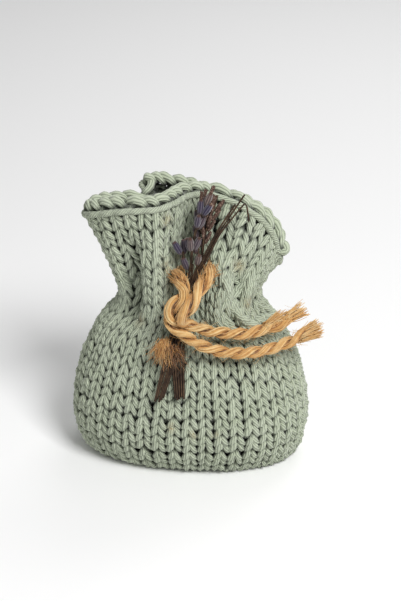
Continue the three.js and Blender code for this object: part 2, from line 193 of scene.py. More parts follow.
@dataclass(frozen=True)
class CottonYarn:
    """Soft plied cotton: matt, with fine plies, and painted shade in their grooves and in the gaps where it
    is tucked away.

    Each edge gives a value where a colour starts, one where it is full, and its share there.
    """

    crest: str = "b6bfa6"
    # Painted shade: the plies' grooves are painted darker than their crests.
    groove_shade: str = "6d7862"
    pale: str = "c9d0bc"
    # Painted shade: the yarn is painted this dark where it lies deep in the gaps between stitches.
    tucked: str = "2f3629"
    fleck: str = "a0854f"
    plies: int = 7
    groove_mm: float = 0.36
    fibre_mm: float = 0.35
    stray_mm: float = 2.2
    stray: float = 0.05
    fluff: float = 0.35
    shade_mm: float = 9.0
    crest_edge: tuple[float, float, float] = (0.05, 0.6, 1.0)
    pale_edge: tuple[float, float, float] = (0.3, 0.7, 0.35)
    fleck_edge: tuple[float, float, float] = (0.4, 0.6, 1.0)
    gap_shade_edge: tuple[float, float, float] = (0.1, 0.85, 0.92)

    def material(self) -> Material:
        """Build the yarn's material, its plies running round each strand's own UV map.

        Returns:
            The material.
        """
        material = blank_material("plied_cotton_yarn", Roughness=0.9, Sheen_Weight=0.25,
                                  Sheen_Roughness=0.6, Specular_IOR_Level=0.2)
        tree = material.node_tree
        place = add_node(tree, "TexCoord").outputs["Object"]
        strand = add_node(tree, "UVMap", {"uv_map": "UVMap"}).outputs[0]
        around = add_node(tree, "SeparateXYZ", inputs={0: strand}).outputs[1]
        fibres, stray, patches = [add_node(tree, "TexNoise", inputs={
            "Vector": place, "Scale": 1 / (grain * MM), "Detail": detail}).outputs[0]
            for grain, detail in ((self.fibre_mm, 3.0), (self.stray_mm, 1.0), (self.shade_mm, 2.0))]
        drift = add_node(tree, "Math", {"operation": "MULTIPLY_ADD"}, {
            0: stray, 1: self.stray, 2: around}).outputs[0]
        phase = add_node(tree, "Math", {"operation": "MULTIPLY"}, {
            0: drift, 1: math.pi * self.plies}).outputs[0]
        wave = add_node(tree, "Math", {"operation": "SINE"}, {0: phase}).outputs[0]
        ridge = add_node(tree, "Math", {"operation": "ABSOLUTE"}, {0: wave}).outputs[0]
        height = add_node(tree, "Math", {"operation": "MULTIPLY_ADD"}, {
            0: fibres, 1: self.fluff, 2: ridge}).outputs[0]
        bump = add_node(tree, "Bump", inputs={
            "Height": height, "Distance": self.groove_mm * MM, "Strength": 0.9}).outputs[0]
        # The shade attribute is painted shade, high where the yarn lies deep or tucked in; the stain is real
        # plant juice.
        stain, depth = [add_node(tree, "Attribute", {"attribute_name": name}).outputs["Fac"]
                        for name in ("stain", "shade")]
        crests, lit, specks, gap_shade = [add_node(tree, "MapRange", inputs={
            "Value": value, "From Min": start, "From Max": full, "To Max": share}).outputs[0]
            for value, (start, full, share) in (
                (ridge, self.crest_edge), (patches, self.pale_edge),
                (fibres, self.fleck_edge), (depth, self.gap_shade_edge))]
        stained = add_node(tree, "Math", {"operation": "MULTIPLY"}, {0: stain, 1: specks}).outputs[0]
        colour = linear(self.groove_shade)
        for share, code in ((crests, self.crest), (lit, self.pale),
                            (stained, self.fleck), (gap_shade, self.tucked)):
            colour = add_node(tree, "Mix", COLOURS, {0: share, 6: colour, 7: linear(code)}).outputs[2]
        return surface(material, colour, bump)


@dataclass(frozen=True)
class JuteFibre:
    """Coarse bast fibre: golden tan, each fibre lighter or darker, with a dull straw gloss."""

    husk: str = "6a4c33"
    dark: str = "a26e3b"
    straw: str = "c89858"
    pale: str = "dec08a"
    streak_mm: float = 2.2
    streak: float = 0.9
    rise_mm: float = 0.2

    def material(self) -> Material:
        """Build the fibre's material from each strand's shade, its own tone with painted shade in the twine's
        hollows, and a slow streak.

        Returns:
            The material.
        """
        material = blank_material("jute_fibre", Roughness=0.7, Sheen_Weight=0.3,
                                  Sheen_Roughness=0.5, Specular_IOR_Level=0.35)
        tree = material.node_tree
        place = add_node(tree, "TexCoord").outputs["Object"]
        shade = add_node(tree, "Attribute", {"attribute_name": "shade"}).outputs["Fac"]
        streak = add_node(tree, "TexNoise", inputs={
            "Vector": place, "Scale": 1 / (self.streak_mm * MM), "Detail": 3.0}).outputs[0]
        tone = add_node(tree, "Math", {"operation": "MULTIPLY_ADD"}, {
            0: streak, 1: self.streak, 2: shade}).outputs[0]
        colour = linear(self.husk)
        for low, high, code in ((0.1, 0.45, self.dark), (0.45, 0.85, self.straw), (1.0, 1.5, self.pale)):
            share = add_node(tree, "MapRange", inputs={
                "Value": tone, "From Min": low, "From Max": high}).outputs[0]
            colour = add_node(tree, "Mix", COLOURS, {0: share, 6: colour, 7: linear(code)}).outputs[2]
        bump = add_node(tree, "Bump", inputs={
            "Height": streak, "Distance": self.rise_mm * MM, "Strength": 0.5}).outputs[0]
        return surface(material, colour, bump)


@dataclass(frozen=True)
class DryStalk:
    """Dried lavender stalk: dark brown, ridged along its length, with paler worn ridges."""

    bark: str = "281a11"
    ridge: str = "6e563e"
    ridges: int = 4
    worn_mm: float = 2.5
    worn_edge: tuple[float, float] = (0.3, 0.7)
    rise_mm: float = 0.1

    def material(self) -> Material:
        """Build the stalk's material, ridged round its UV map.

        Returns:
            The material.
        """
        material = blank_material("dried_stalk", Roughness=0.75, Specular_IOR_Level=0.3)
        tree = material.node_tree
        place = add_node(tree, "TexCoord").outputs["Object"]
        strand = add_node(tree, "UVMap", {"uv_map": "UVMap"}).outputs[0]
        around = add_node(tree, "SeparateXYZ", inputs={0: strand}).outputs[1]
        phase = add_node(tree, "Math", {"operation": "MULTIPLY"}, {
            0: around, 1: math.pi * self.ridges}).outputs[0]
        wave = add_node(tree, "Math", {"operation": "SINE"}, {0: phase}).outputs[0]
        ridge = add_node(tree, "Math", {"operation": "ABSOLUTE"}, {0: wave}).outputs[0]
        worn = add_node(tree, "TexNoise", inputs={
            "Vector": place, "Scale": 1 / (self.worn_mm * MM), "Detail": 4.0}).outputs[0]
        height = add_node(tree, "Math", {"operation": "MULTIPLY"}, {0: ridge, 1: worn}).outputs[0]
        pale = add_node(tree, "MapRange", inputs={
            "Value": height, "From Min": self.worn_edge[0], "From Max": self.worn_edge[1]}).outputs[0]
        colour = add_node(tree, "Mix", COLOURS, {
            0: pale, 6: linear(self.bark), 7: linear(self.ridge)}).outputs[2]
        bump = add_node(tree, "Bump", inputs={
            "Height": height, "Distance": self.rise_mm * MM, "Strength": 0.8}).outputs[0]
        return surface(material, colour, bump)


@dataclass(frozen=True)
class DryCalyx:
    """Dried lavender calyx: downy, violet with greyer ribs or faded to brown, and brown at tip and foot."""

    violet: str = "29243a"
    down: str = "807a88"
    faded: str = "4a3c39"
    worn: str = "b39d90"
    tip: str = "4b2f22"
    down_mm: float = 0.5
    rib_edge: tuple[float, float] = (0.4, 1.0)
    tip_edge: tuple[float, float] = (0.84, 0.98)
    foot_edge: tuple[float, float] = (0.2, 0.02)
    rise_mm: float = 0.15

    def material(self) -> Material:
        """Build the calyx's material, with its ribs across its UV map and its tip and foot along it.

        Returns:
            The material.
        """
        material = blank_material("dried_lavender_calyx", Roughness=0.85, Sheen_Weight=0.4,
                                  Sheen_Roughness=0.5, Specular_IOR_Level=0.2)
        tree = material.node_tree
        place = add_node(tree, "TexCoord").outputs["Object"]
        skin_map = add_node(tree, "UVMap", {"uv_map": "UVMap"}).outputs[0]
        across, along = add_node(tree, "SeparateXYZ", inputs={0: skin_map}).outputs[:2]
        fade = add_node(tree, "Attribute", {"attribute_name": "shade"}).outputs["Fac"]
        hairs = add_node(tree, "TexNoise", inputs={
            "Vector": place, "Scale": 1 / (self.down_mm * MM), "Detail": 3.0}).outputs[0]
        rib, end, foot = [add_node(tree, "MapRange", inputs={
            "Value": value, "From Min": start, "From Max": full}).outputs[0]
            for value, (start, full) in (
                (across, self.rib_edge), (along, self.tip_edge), (along, self.foot_edge))]
        downy = add_node(tree, "Math", {"operation": "MULTIPLY"}, {0: hairs, 1: rib}).outputs[0]
        brown = add_node(tree, "Math", {"operation": "MAXIMUM"}, {0: end, 1: foot}).outputs[0]
        base, ribs = [add_node(tree, "Mix", COLOURS, {
            0: fade, 6: linear(fresh), 7: linear(old)}).outputs[2]
            for fresh, old in ((self.violet, self.faded), (self.down, self.worn))]
        skin = add_node(tree, "Mix", COLOURS, {0: downy, 6: base, 7: ribs}).outputs[2]
        colour = add_node(tree, "Mix", COLOURS, {0: brown, 6: skin, 7: linear(self.tip)}).outputs[2]
        bump = add_node(tree, "Bump", inputs={
            "Height": hairs, "Distance": self.rise_mm * MM, "Strength": 0.7}).outputs[0]
        return surface(material, colour, bump)


@dataclass(frozen=True)
class DryPetal:
    """Shrivelled lavender petal: papery brown and creased, its creases painted paler as a highlight."""

    brown: str = "4a342b"
    # Painted highlight: the paler colour put on the creases.
    crease: str = "a88e7d"
    crease_mm: float = 0.6
    crease_highlight_edge: tuple[float, float] = (0.5, 0.75)
    rise_mm: float = 0.2

    def material(self) -> Material:
        """Build the petal's material, creased by place.

        Returns:
            The material.
        """
        material = blank_material("dried_petal", Roughness=0.7, Specular_IOR_Level=0.3)
        tree = material.node_tree
        place = add_node(tree, "TexCoord").outputs["Object"]
        folds = add_node(tree, "TexNoise", inputs={
            "Vector": place, "Scale": 1 / (self.crease_mm * MM), "Detail": 3.0}).outputs[0]
        # Painted highlight: the creases are painted paler, as where light catches them.
        pale = add_node(tree, "MapRange", inputs={
            "Value": folds, "From Min": self.crease_highlight_edge[0], "From Max": self.crease_highlight_edge[1]}).outputs[0]
        colour = add_node(tree, "Mix", COLOURS, {
            0: pale, 6: linear(self.brown), 7: linear(self.crease)}).outputs[2]
        bump = add_node(tree, "Bump", inputs={
            "Height": folds, "Distance": self.rise_mm * MM, "Strength": 0.8}).outputs[0]
        return surface(material, colour, bump)


@dataclass(frozen=True)
class Organza:
    """Woven organza: dull dark green with a fine thread grid, drawn at 0.8 mm so that it shows. Its dark
    colour is also painted shade, for where it shows through the knit's holes.
    """

    # Painted shade: both colours are dark, so that the cloth reads as shade through the knit's holes.
    thread: str = "555b49"
    gap: str = "2c3026"
    thread_mm: float = 0.8
    wave_period: float = 0.314
    rise_mm: float = 0.1

    def material(self) -> Material:
        """Build the weave from two crossed sine waves.

        Returns:
            The material.
        """
        material = blank_material("woven_organza", Roughness=0.6, Sheen_Weight=0.3, Specular_IOR_Level=0.3)
        tree = material.node_tree
        place = add_node(tree, "TexCoord").outputs["Object"]
        scale = self.wave_period / (self.thread_mm * MM)
        across, along = [add_node(tree, "TexWave", {"bands_direction": axis}, {
            "Vector": place, "Scale": scale, "Distortion": 0.4}).outputs["Fac"] for axis in ("X", "Z")]
        weave = add_node(tree, "Math", {"operation": "MAXIMUM"}, {0: across, 1: along}).outputs[0]
        colour = add_node(tree, "Mix", COLOURS, {
            0: weave, 6: linear(self.gap), 7: linear(self.thread)}).outputs[2]
        bump = add_node(tree, "Bump", inputs={
            "Height": weave, "Distance": self.rise_mm * MM, "Strength": 0.5}).outputs[0]
        return surface(material, colour, bump)


@dataclass(frozen=True)
class PaleFloor:
    """Smooth painted board: near white and matt."""

    paint: str = "fafafa"

    def material(self) -> Material:
        """Build the floor's material."""
        return blank_material("white_painted_board", Base_Color=linear(self.paint), Roughness=0.8,
                              Specular_IOR_Level=0.1)


# Curves and strands

SPAN_STEPS = 40
STRAND_GAP = 1e-7
STEEP = 0.9


def distances(line: Array) -> Array:
    """Give how far along a line each of its points lies."""
    return np.r_[0, np.cumsum(np.linalg.norm(np.diff(line, axis=0), axis=1))]


def length_of(line: Array) -> float:
    """Give the length of a line of points."""
    return float(distances(line)[-1])


def points_at(line: Array, at: Array) -> Array:
    """Give the points that lie at distances along a line."""
    along = distances(line)
    return np.stack([np.interp(at, along, axis) for axis in line.T], axis=1)


def unit(vectors: Array) -> Array:
    """Scale vectors to a length of one."""
    return vectors / np.maximum(np.linalg.norm(vectors, axis=-1, keepdims=True), 1e-9)


def smooth_line(points: Sequence, count: int, closed: bool = False) -> Array:
    """Run a smooth curve through points, with its new points evenly far apart.

    Args:
        points: points to pass through, in mm.
        count: number of points returned.
        closed: whether the curve comes round to its start, which isn't repeated.

    Returns:
        Points of shape (count, 3).
    """
    p = np.asarray(points, float)
    ends = (p[-1], p[0], p[1]) if closed else (2 * p[0] - p[1], 2 * p[-1] - p[-2])
    q = np.vstack([ends[0], p, *ends[1:]])
    u = np.linspace(0, 1, SPAN_STEPS, endpoint=False)[:, None]
    parts = []
    for a, b, c, d in zip(q, q[1:], q[2:], q[3:]):
        parts.append(0.5 * (2 * b + (c - a) * u + (2 * a - 5 * b + 4 * c - d) * u**2
                            + (3 * b - a - 3 * c + d) * u**3))
    dense = np.vstack([*parts, q[-2]])
    return points_at(dense, np.linspace(0, length_of(dense), count, endpoint=not closed))


def carried_frame(line: Array) -> tuple[Array, Array, Array]:
    """Carry two sideways directions along a line with no twist.

    Args:
        line: points along the line.

    Returns:
        Heading, first side and second side at each point.
    """
    heading = unit(np.gradient(line, axis=0))
    steep = abs(heading[0][2]) >= STEEP
    side = np.cross(heading[0], (1.0, 0.0, 0.0) if steep else (0.0, 0.0, 1.0))
    sides = []
    for h in heading:
        side = unit(side - h * side.dot(h))
        sides.append(side)
    first = np.array(sides)
    return heading, first, np.cross(heading, first)


@dataclass
class Strand:
    """One round strand: its points and radius in mm, its twist from point to point, and its shade."""

    points: Array
    radius: Array | float
    twist: float = 0.0
    shade: Array | float = 0.0


def strands_to_mesh(name: str, strands: Sequence[Strand], sides: int) -> Object:
    """Make one mesh of round strands with closed ends, from bevelled curves.

    Args:
        name: name of the new object.
        strands: the strands, in mm.
        sides: faces round a strand, an even number from 4.

    Returns:
        The mesh object, linked to the scene, with a UV map along and round each strand and its shade.
    """
    curve = bpy.data.curves.new(name, "CURVE")
    curve.dimensions = "3D"
    curve.bevel_depth = MM
    curve.bevel_resolution = (sides - 4) // 2
    curve.use_fill_caps = True
    curve.twist_mode = "MINIMUM"
    for strand in strands:
        count = len(strand.points)
        spline = curve.splines.new("POLY")
        spline.points.add(count - 1)
        co = np.column_stack([strand.points * MM, np.ones(count)])
        spline.points.foreach_set("co", co.astype(np.float32).ravel())
        for key, value in (("radius", strand.radius), ("tilt", strand.twist * np.arange(count))):
            values = np.broadcast_to(value, count).astype(np.float32)
            spline.points.foreach_set(key, np.ascontiguousarray(values))
    shell = bpy.data.objects.new(name + "_line", curve)
    bpy.context.scene.collection.objects.link(shell)
    bpy.context.view_layer.update()
    mesh = bpy.data.meshes.new_from_object(shell.evaluated_get(bpy.context.evaluated_depsgraph_get()))
    bpy.data.objects.remove(shell)
    bpy.data.curves.remove(curve)
    mesh.name = name
    # The end caps of all strands come first, from the last strand to the first, then their walls in order
    shades = [np.broadcast_to(strand.shade, len(strand.points)) for strand in strands]
    caps = np.repeat([shade[[0, -1]] for shade in shades[::-1]], sides)
    keep_values(mesh, "shade", np.concatenate([caps, np.repeat(np.concatenate(shades), sides)]))
    shape = bmesh.new()
    shape.from_mesh(mesh)
    to_closed_mesh(shape, mesh, STRAND_GAP)
    return link_mesh(name, mesh)


def keep_values(mesh: Mesh, name: str, values: Array) -> None:
    """Keep one value for each point of a mesh, under a name that may be in use."""
    kept = mesh.attributes.get(name) or mesh.attributes.new(name, "FLOAT", "POINT")
    kept.data.foreach_set("value", values.astype(np.float32))


def to_closed_mesh(shape: bmesh.types.BMesh, mesh: Mesh, gap: float) -> None:
    """Turn a shape into a closed, smooth mesh that faces outwards, and free it.

    Args:
        shape: the shape.
        mesh: the mesh that takes it.
        gap: how far apart points may lie that are joined, in m.
    """
    bmesh.ops.remove_doubles(shape, verts=shape.verts[:], dist=gap)
    bmesh.ops.recalc_face_normals(shape, faces=shape.faces[:])
    shape.to_mesh(mesh)
    shape.free()
    mesh.shade_smooth()


def link_mesh(name: str, mesh: Mesh) -> Object:
    """Put a mesh in the scene as an object at the origin.

    Args:
        name: name of the object.
        mesh: its mesh.

    Returns:
        The object.
    """
    piece = bpy.data.objects.new(name, mesh)
    bpy.context.scene.collection.objects.link(piece)
    return piece


def dress(piece: Object, slot: Slot, nodes: Sequence[str], body: Body | None,
          *materials: Material) -> Object:
    """Give a piece its materials, hide the CAD parts that it replaces, hang it on its body where it has one,
    and report it.

    Args:
        piece: the piece.
        slot: the record's material slot; not used.
        nodes: the CAD nodes that it replaces.
        body: the body that it rides on, or None where that comes later.
        materials: its finishes, in the order of its faces' indices.

    Returns:
        The same piece.
    """
    for material in materials:
        piece.data.materials.append(material)
    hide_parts(*nodes)
    if body:
        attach(piece, body.value)
    LOG.info("%s: %d faces", piece.name, len(piece.data.polygons))
    return piece


# Knitted bag

OVAL_POINTS = 24


class Section(NamedTuple):
    """One level section: its width, depth, height and place towards the back in mm, and its power.

    A power of 1 makes an oval, and less makes it squarish.
    """

    width: float
    depth: float
    height: float
    back: float
    power: float

    def outline(self) -> Array:
        """Give the points of its squarish oval, from the left and round the front.

        Returns:
            Points of shape (OVAL_POINTS, 3), in mm.
        """
        angle = math.pi + np.arange(OVAL_POINTS) * TURN / OVAL_POINTS
        c, s = np.cos(angle), np.sin(angle)
        x = self.width / 2 * np.sign(c) * np.abs(c) ** self.power
        y = self.back + self.depth / 2 * np.sign(s) * np.abs(s) ** self.power
        return np.column_stack([x, y, np.full(OVAL_POINTS, float(self.height))])

    def drawn_in(self, inset: float, floor: float) -> "Section":
        """Give the section that lies an inset inside it, and no lower than a floor."""
        return Section(self.width - 2 * inset, self.depth - 2 * inset, max(self.height, floor), *self[3:])


@dataclass(frozen=True)
class Pleat:
    """One soft fold of the gathers: its middle and reach in stitches and rows, and its rise in mm."""

    wale: float
    course: float
    out: float
    wales: float = 0.95
    courses: float = 5.0
    drift: float = 0.0

    def rise(self, wale: Array, course: Array, around: int) -> Array:
        """Give how far the fold stands out.

        Args:
            wale: stitches round the bag from the left seam.
            course: rows up from the base's edge.
            around: stitches all round.

        Returns:
            The rise in mm at each place.
        """
        middle = self.wale + self.drift * (course - self.course)
        across = (wale - middle + around / 2) % around - around / 2
        return self.out * np.exp(-(across / self.wales) ** 2 - ((course - self.course) / self.courses) ** 2)


@dataclass
class BagShape:
    """Outer form of the bag, a loft of level sections from the base to the wavy rim, in mm."""

    sections: tuple[Section, ...] = (
        Section(93, 47, 0, 0, 0.9), Section(101, 59, 8, 0, 0.9), Section(104, 64, 22, 0, 0.9),
        Section(98, 60, 41, 1, 1.0), Section(82, 48, 59.5, 3, 1.0),
    )
    neck_height: float = 75.0
    neck: tuple[tuple[float, float], ...] = (
        (-32, 5), (-29, -4), (-21.5, -5), (-17, -13), (-9, -16), (-3, -12), (2, -8.5), (7, -10.5),
        (13, -15), (18.5, -10), (24, -10), (29, -2), (29.5, 6), (26, 15), (18, 18), (13, 15),
        (6, 21), (0, 18), (-7, 22), (-13, 17), (-20, 19), (-29, 13),
    )
    rim: tuple[Point, ...] = (
        (-46, 4, 35), (-42, -5, 38.5), (-29, -9.5, 42.5), (-15, -8.5, 44.2), (-6, -3, 44.6), (0, 5, 45),
        (8, 8, 44.5), (18, 7.2, 42), (25.5, 7, 38), (31.5, 7.4, 33), (36.2, 9, 24), (38, 12.5, 12),
        (37, 16, 18), (33.5, 18, 28), (28, 19.2, 33), (19, 20, 37), (9, 21, 39.5), (-4, 22, 42.5),
        (-16, 22, 44), (-23, 18, 43.5), (-21.5, 12.5, 41), (-30, 11, 40.5), (-40, 9.5, 38.5),
    )
    pleats: tuple[Pleat, ...] = (
        Pleat(2.2, 24.0, 1.0, 1.0), Pleat(3.9, 23.0, -2.8, 0.9, 4.4, 0.26), Pleat(5.3, 23.5, 2.2, 0.75),
        Pleat(6.45, 25.0, 2.6, 0.7, 6.5), Pleat(7.5, 25.0, -0.8, 0.9), Pleat(10.0, 24.0, -2.0, 1.5),
        Pleat(14.0, 23.0, 1.8, 0.9, 3.4, -0.85), Pleat(15.7, 23.5, -1.8, 0.8, 3.4, -0.75),
        Pleat(17.3, 24.0, 1.4, 0.9), Pleat(19.0, 22.0, -1.4, 0.9, 3.5), Pleat(21.8, 26.0, 1.2, 1.2),
        Pleat(24.5, 23.0, 2.2, 0.85), Pleat(26.6, 22.5, 0.6, 0.9), Pleat(29.1, 23.0, 2.4, 0.85),
        Pleat(31.5, 22.5, -2.4, 0.9), Pleat(33.8, 23.0, 2.2, 0.85), Pleat(36.2, 22.5, -2.4, 0.9),
        Pleat(38.2, 22.5, 1.8, 0.85),
    )
    crowded: tuple[float, ...] = (0, 7.7, 12.7, 15, 18, 20, 40)
    neck_crowded: tuple[float, ...] = (0, 8.7, 12, 14.52, 17.81, 20, 40)
    rim_crowded: tuple[float, ...] = (0, 8.7, 12, 15.9, 19.1, 20.3, 40)
    turn_under: float = 7.0
    wales: int = 40
    courses: int = 30
    per_wale: int = 8
    per_course: int = 8
    course_under: float = 5.2
    rows_under: int = 1
    fine_points: int = 600
    places: Array = field(init=False, repr=False)
    normals: Array = field(init=False, repr=False)

    def __post_init__(self) -> None:
        """Work out the fabric's grid of places and outward directions."""
        rings = self.rings()
        columns = rings.shape[1]
        self.places = np.array([self.column(rings[:, k]) for k in range(columns)]).transpose(1, 0, 2)
        self.places[..., 2] = np.maximum(self.places[..., 2], 0)
        self.face_out()
        wale = np.arange(columns) / self.per_wale
        course = np.arange(len(self.places))[:, None] / self.per_course - self.rows_under
        rise = sum(pleat.rise(wale, course, self.wales) for pleat in self.pleats)
        self.places = self.places + self.normals * rise[..., None]
        self.face_out()

    def rings(self) -> Array:
        """Give every section as a ring of points, crowded at the neck and the rim as the gathers are.

        Returns:
            Points of shape (sections, points round, 3), in mm.
        """
        under = self.sections[0].drawn_in(self.turn_under, 0)
        outlines = [section.outline() for section in (under, *self.sections)]
        outlines.append(np.array([(x, y, self.neck_height) for x, y in self.neck]))
        outlines.append(np.array([(x, y, self.neck_height + rise) for x, y, rise in self.rim]))
        columns = self.wales * self.per_wale
        rings = np.array([smooth_line(outline, columns, closed=True) for outline in outlines])
        for k, crowded in ((-2, self.neck_crowded), (-1, self.rim_crowded)):
            spread = np.interp(np.arange(columns) / self.per_wale, self.crowded, crowded) * self.per_wale
            rings[k] = np.stack([np.interp(spread, np.arange(columns + 1), np.r_[axis, axis[0]])
                                 for axis in rings[k].T], axis=1)
        return rings

    def column(self, knots: Array) -> Array:
        """Run a line up the fabric.

        Args:
            knots: its point on every ring.

        Returns:
            Its points, from the rows under the base to the rim.
        """
        above = np.arange(self.courses * self.per_course + 1) / (self.courses * self.per_course)
        below = -np.arange(self.rows_under * self.per_course, 0, -1) / self.per_course
        dense = smooth_line(knots, self.fine_points)
        along = distances(dense)
        start = along[np.linalg.norm(dense - knots[1], axis=1).argmin()]
        under = np.maximum(start + below * self.course_under, 0)
        return points_at(dense, np.r_[under, start + above * (along[-1] - start)])

    def face_out(self) -> None:
        """Work out the outward directions from the places."""
        across = np.roll(self.places, -1, axis=1) - np.roll(self.places, 1, axis=1)
        self.normals = unit(np.cross(across, np.gradient(self.places, axis=0)))

    def sample(self, grid: Array, wale: Array, course: Array) -> Array:
        """Read a grid between its points.

        Args:
            grid: places or normals.
            wale: stitches round the bag from the left seam.
            course: rows up from the base's edge.

        Returns:
            One vector for each pair.
        """
        rows, columns = grid.shape[:2]
        x = np.asarray(wale, float) * self.per_wale
        y = np.clip((np.asarray(course, float) + self.rows_under) * self.per_course, 0, rows - 1.001)
        i, j = np.floor(x).astype(int), np.floor(y).astype(int)
        fx, fy = (x - i)[..., None], (y - j)[..., None]
        i0, i1 = i % columns, (i + 1) % columns
        low = grid[j, i0] * (1 - fx) + grid[j, i1] * fx
        high = grid[j + 1, i0] * (1 - fx) + grid[j + 1, i1] * fx
        return low * (1 - fy) + high * fy

    def place(self, wale: Array, course: Array, out: Array | float = 0.0) -> Array:
        """Give the place of fabric coordinates, moved out from the surface in mm."""
        lift = np.asarray(out, float)[..., None] if np.ndim(out) else out
        return self.sample(self.places, wale, course) + unit(self.sample(self.normals, wale, course)) * lift

    def stitch_width(self, wale: Array, course: Array) -> Array:
        """Give the width of a stitch at fabric coordinates, in mm."""
        return np.linalg.norm(self.place(wale + 0.5, course) - self.place(wale - 0.5, course), axis=-1)


class Spot(NamedTuple):
    """A spot of the fabric: its wale and course, and its size."""

    wale: float
    course: float
    size: float


@dataclass
class Knitting:
    """Stockinette fabric of the bag, every course one strand of yarn looped through the last. Sizes in mm.

    The strays are sideways and up in stitches, of the radius as a share, and outwards.
    """

    shape: BagShape
    yarn: Material
    radius: float = 1.14
    lean: float = 0.25
    tuck: float = 0.02
    reach: float = 0.95
    rise: float = 0.2
    uneven: float = 0.07
    loose_swell: float = 0.4
    side_swell: float = 0.12
    head_slim: float = 0.14
    depth: float = 1.4
    stitch: float = 6.0
    snug: tuple[float, float] = (0.74, 1.24)
    strays: tuple[float, ...] = (0.045, 0.07, 0.07, 0.22)
    points: int = 16
    sides: int = 10
    twist: float = -0.6
    # Painted shade by depth under the fabric's face, in mm: it starts at lit_mm, is full at dark_mm, and
    # fades past inner_mm on the face that looks into the bag.
    lit_mm: float = 0.6
    dark_mm: float = 2.6
    inner_mm: float = 4.7
    inner_fade: float = 1.2
    inner_least: float = 0.2
    face_steps: int = 6
    stains: tuple[Spot, ...] = (
        Spot(7.15, 28.2, 2.4), Spot(7.2, 23.6, 2.2), Spot(5.0, 17.8, 2.4), Spot(17.8, 22.5, 2.2),
        Spot(15.3, 24.6, 2.4), Spot(12.1, 6.0, 1.6), Spot(10.75, 6.0, 1.8), Spot(9.3, 6.8, 1.8),
    )
    creases: tuple[Spot, ...] = (
        Spot(16.1, 23.2, 1.3), Spot(16.5, 21.8, 1.2), Spot(16.0, 20.2, 0.8), Spot(2.8, 21.4, 0.9),
    )
    crease_tall: float = 0.7
    most_pressed: float = 1.1
    pressed_swell: float = 0.3
    pressed_flat: float = 0.6
    bar_half: float = 0.9
    bar_depth: float = 2.4
    bar_swell: float = 1.1
    bar_points: int = 13
    bar_rows: Point = (-0.5, 0, 0.5)
    base_stitch: float = 6.1
    base_row: float = 5.2
    base_overlap: float = 0.93
    base_rows: int = 4
    base_margin: float = 6.0
    base_stray: float = 0.2
    base_least: int = 3
    seed: int = 7
    base_seed: int = 106

    def loops(self, rng: Rng, stitches: int, strays: Sequence[float]) -> list[Array]:
        """Give the turn of the yarn along a course, and how its legs stray.

        Args:
            rng: source of the hand-made unevenness.
            stitches: stitches in the course.
            strays: how far the legs stray in each way.

        Returns:
            The turn at each point, then each way's stray.
        """
        turn = np.linspace(0, TURN * stitches, stitches * self.points + 1)
        legs = (np.arange(2 * stitches) + 0.5) * math.pi
        return [turn, *(np.interp(turn, legs, rng.normal(0, size, 2 * stitches)) for size in strays)]

    def course(self, rng: Rng, first: float, stitches: int, row: int, lay: Lay) -> Strand:
        """Loop one course of yarn along the fabric, every second one knitted looser.

        Args:
            rng: source of the hand-made unevenness.
            first: wale where the course starts.
            stitches: stitches in it.
            row: courses below it.
            lay: way that the panel was knitted.

        Returns:
            The strand.
        """
        turn, aside, above, fat, proud = self.loops(rng, stitches, self.strays)
        wale = first + turn / TURN + self.lean * np.sin(2 * turn) + self.tuck * np.sin(turn) + aside
        loose = self.uneven * (-1) ** row
        height = row + self.rise + loose + lay.value * self.reach * (1 + loose) * np.cos(turn) + above
        snug = np.clip(self.shape.stitch_width(wale, height) / self.stitch, *self.snug)
        pressed = self.pressed(wale, height)
        radius = self.radius * snug * (1 + self.side_swell * np.sin(turn))
        radius = radius * (1 - self.head_slim * np.cos(2 * turn))
        radius = radius * (1 + fat) * (1 + self.loose_swell * loose) * (1 + self.pressed_swell * pressed)
        tucked = (1 + np.cos(2 * turn)) / 2
        out = proud - radius - 2 * self.depth * snug * tucked * (1 - self.pressed_flat * pressed)
        return Strand(self.shape.place(wale, height, out), radius, self.twist)

    def pressed(self, wale: Array, course: Array) -> Array:
        """Give how hard the creases press the yarn at fabric coordinates.

        Args:
            wale: stitches round the bag from the left seam.
            course: rows up from the base's edge.

        Returns:
            The press at each place, 0 for none.
        """
        near = np.zeros(len(wale))
        for crease in self.creases:
            across, up = wale - crease.wale, self.crease_tall * (course - crease.course)
            near += np.exp(-(across**2 + up**2) / crease.size**2)
        return np.minimum(near, self.most_pressed)

    def bar(self, wale: float, course: float) -> Strand:
        """Lay a short strand behind a crease's open stitch, where the loops of the next course fill it.

        Args:
            wale: wale of its middle.
            course: its course.

        Returns:
            The strand.
        """
        # Lying deep, the bar is painted dark by the gaps' painted shade.
        across = wale + np.linspace(-self.bar_half, self.bar_half, self.bar_points)
        path = self.shape.place(across, np.full(self.bar_points, course), -self.bar_depth)
        return Strand(path, self.radius * self.bar_swell, self.twist)

    def panel(self, name: str, first: int, lay: Lay) -> None:
        """Knit the front or the back of the bag.

        Args:
            name: piece name.
            first: wale where the panel starts.
            lay: way that it was knitted.
        """
        rng = np.random.default_rng(self.seed + first)
        half = self.shape.wales // 2
        strands = [self.course(rng, first, half, row, lay) for row in range(self.shape.courses)]
        for crease in self.creases:
            if first <= crease.wale < first + half:
                strands += [self.bar(crease.wale, crease.course + up) for up in self.bar_rows]
        panel = strands_to_mesh(name, strands, self.sides)
        self.mark(panel.data, first)
        dress(panel, Slot.COTTON, ("knit_bag",), Body.BAG, self.yarn)

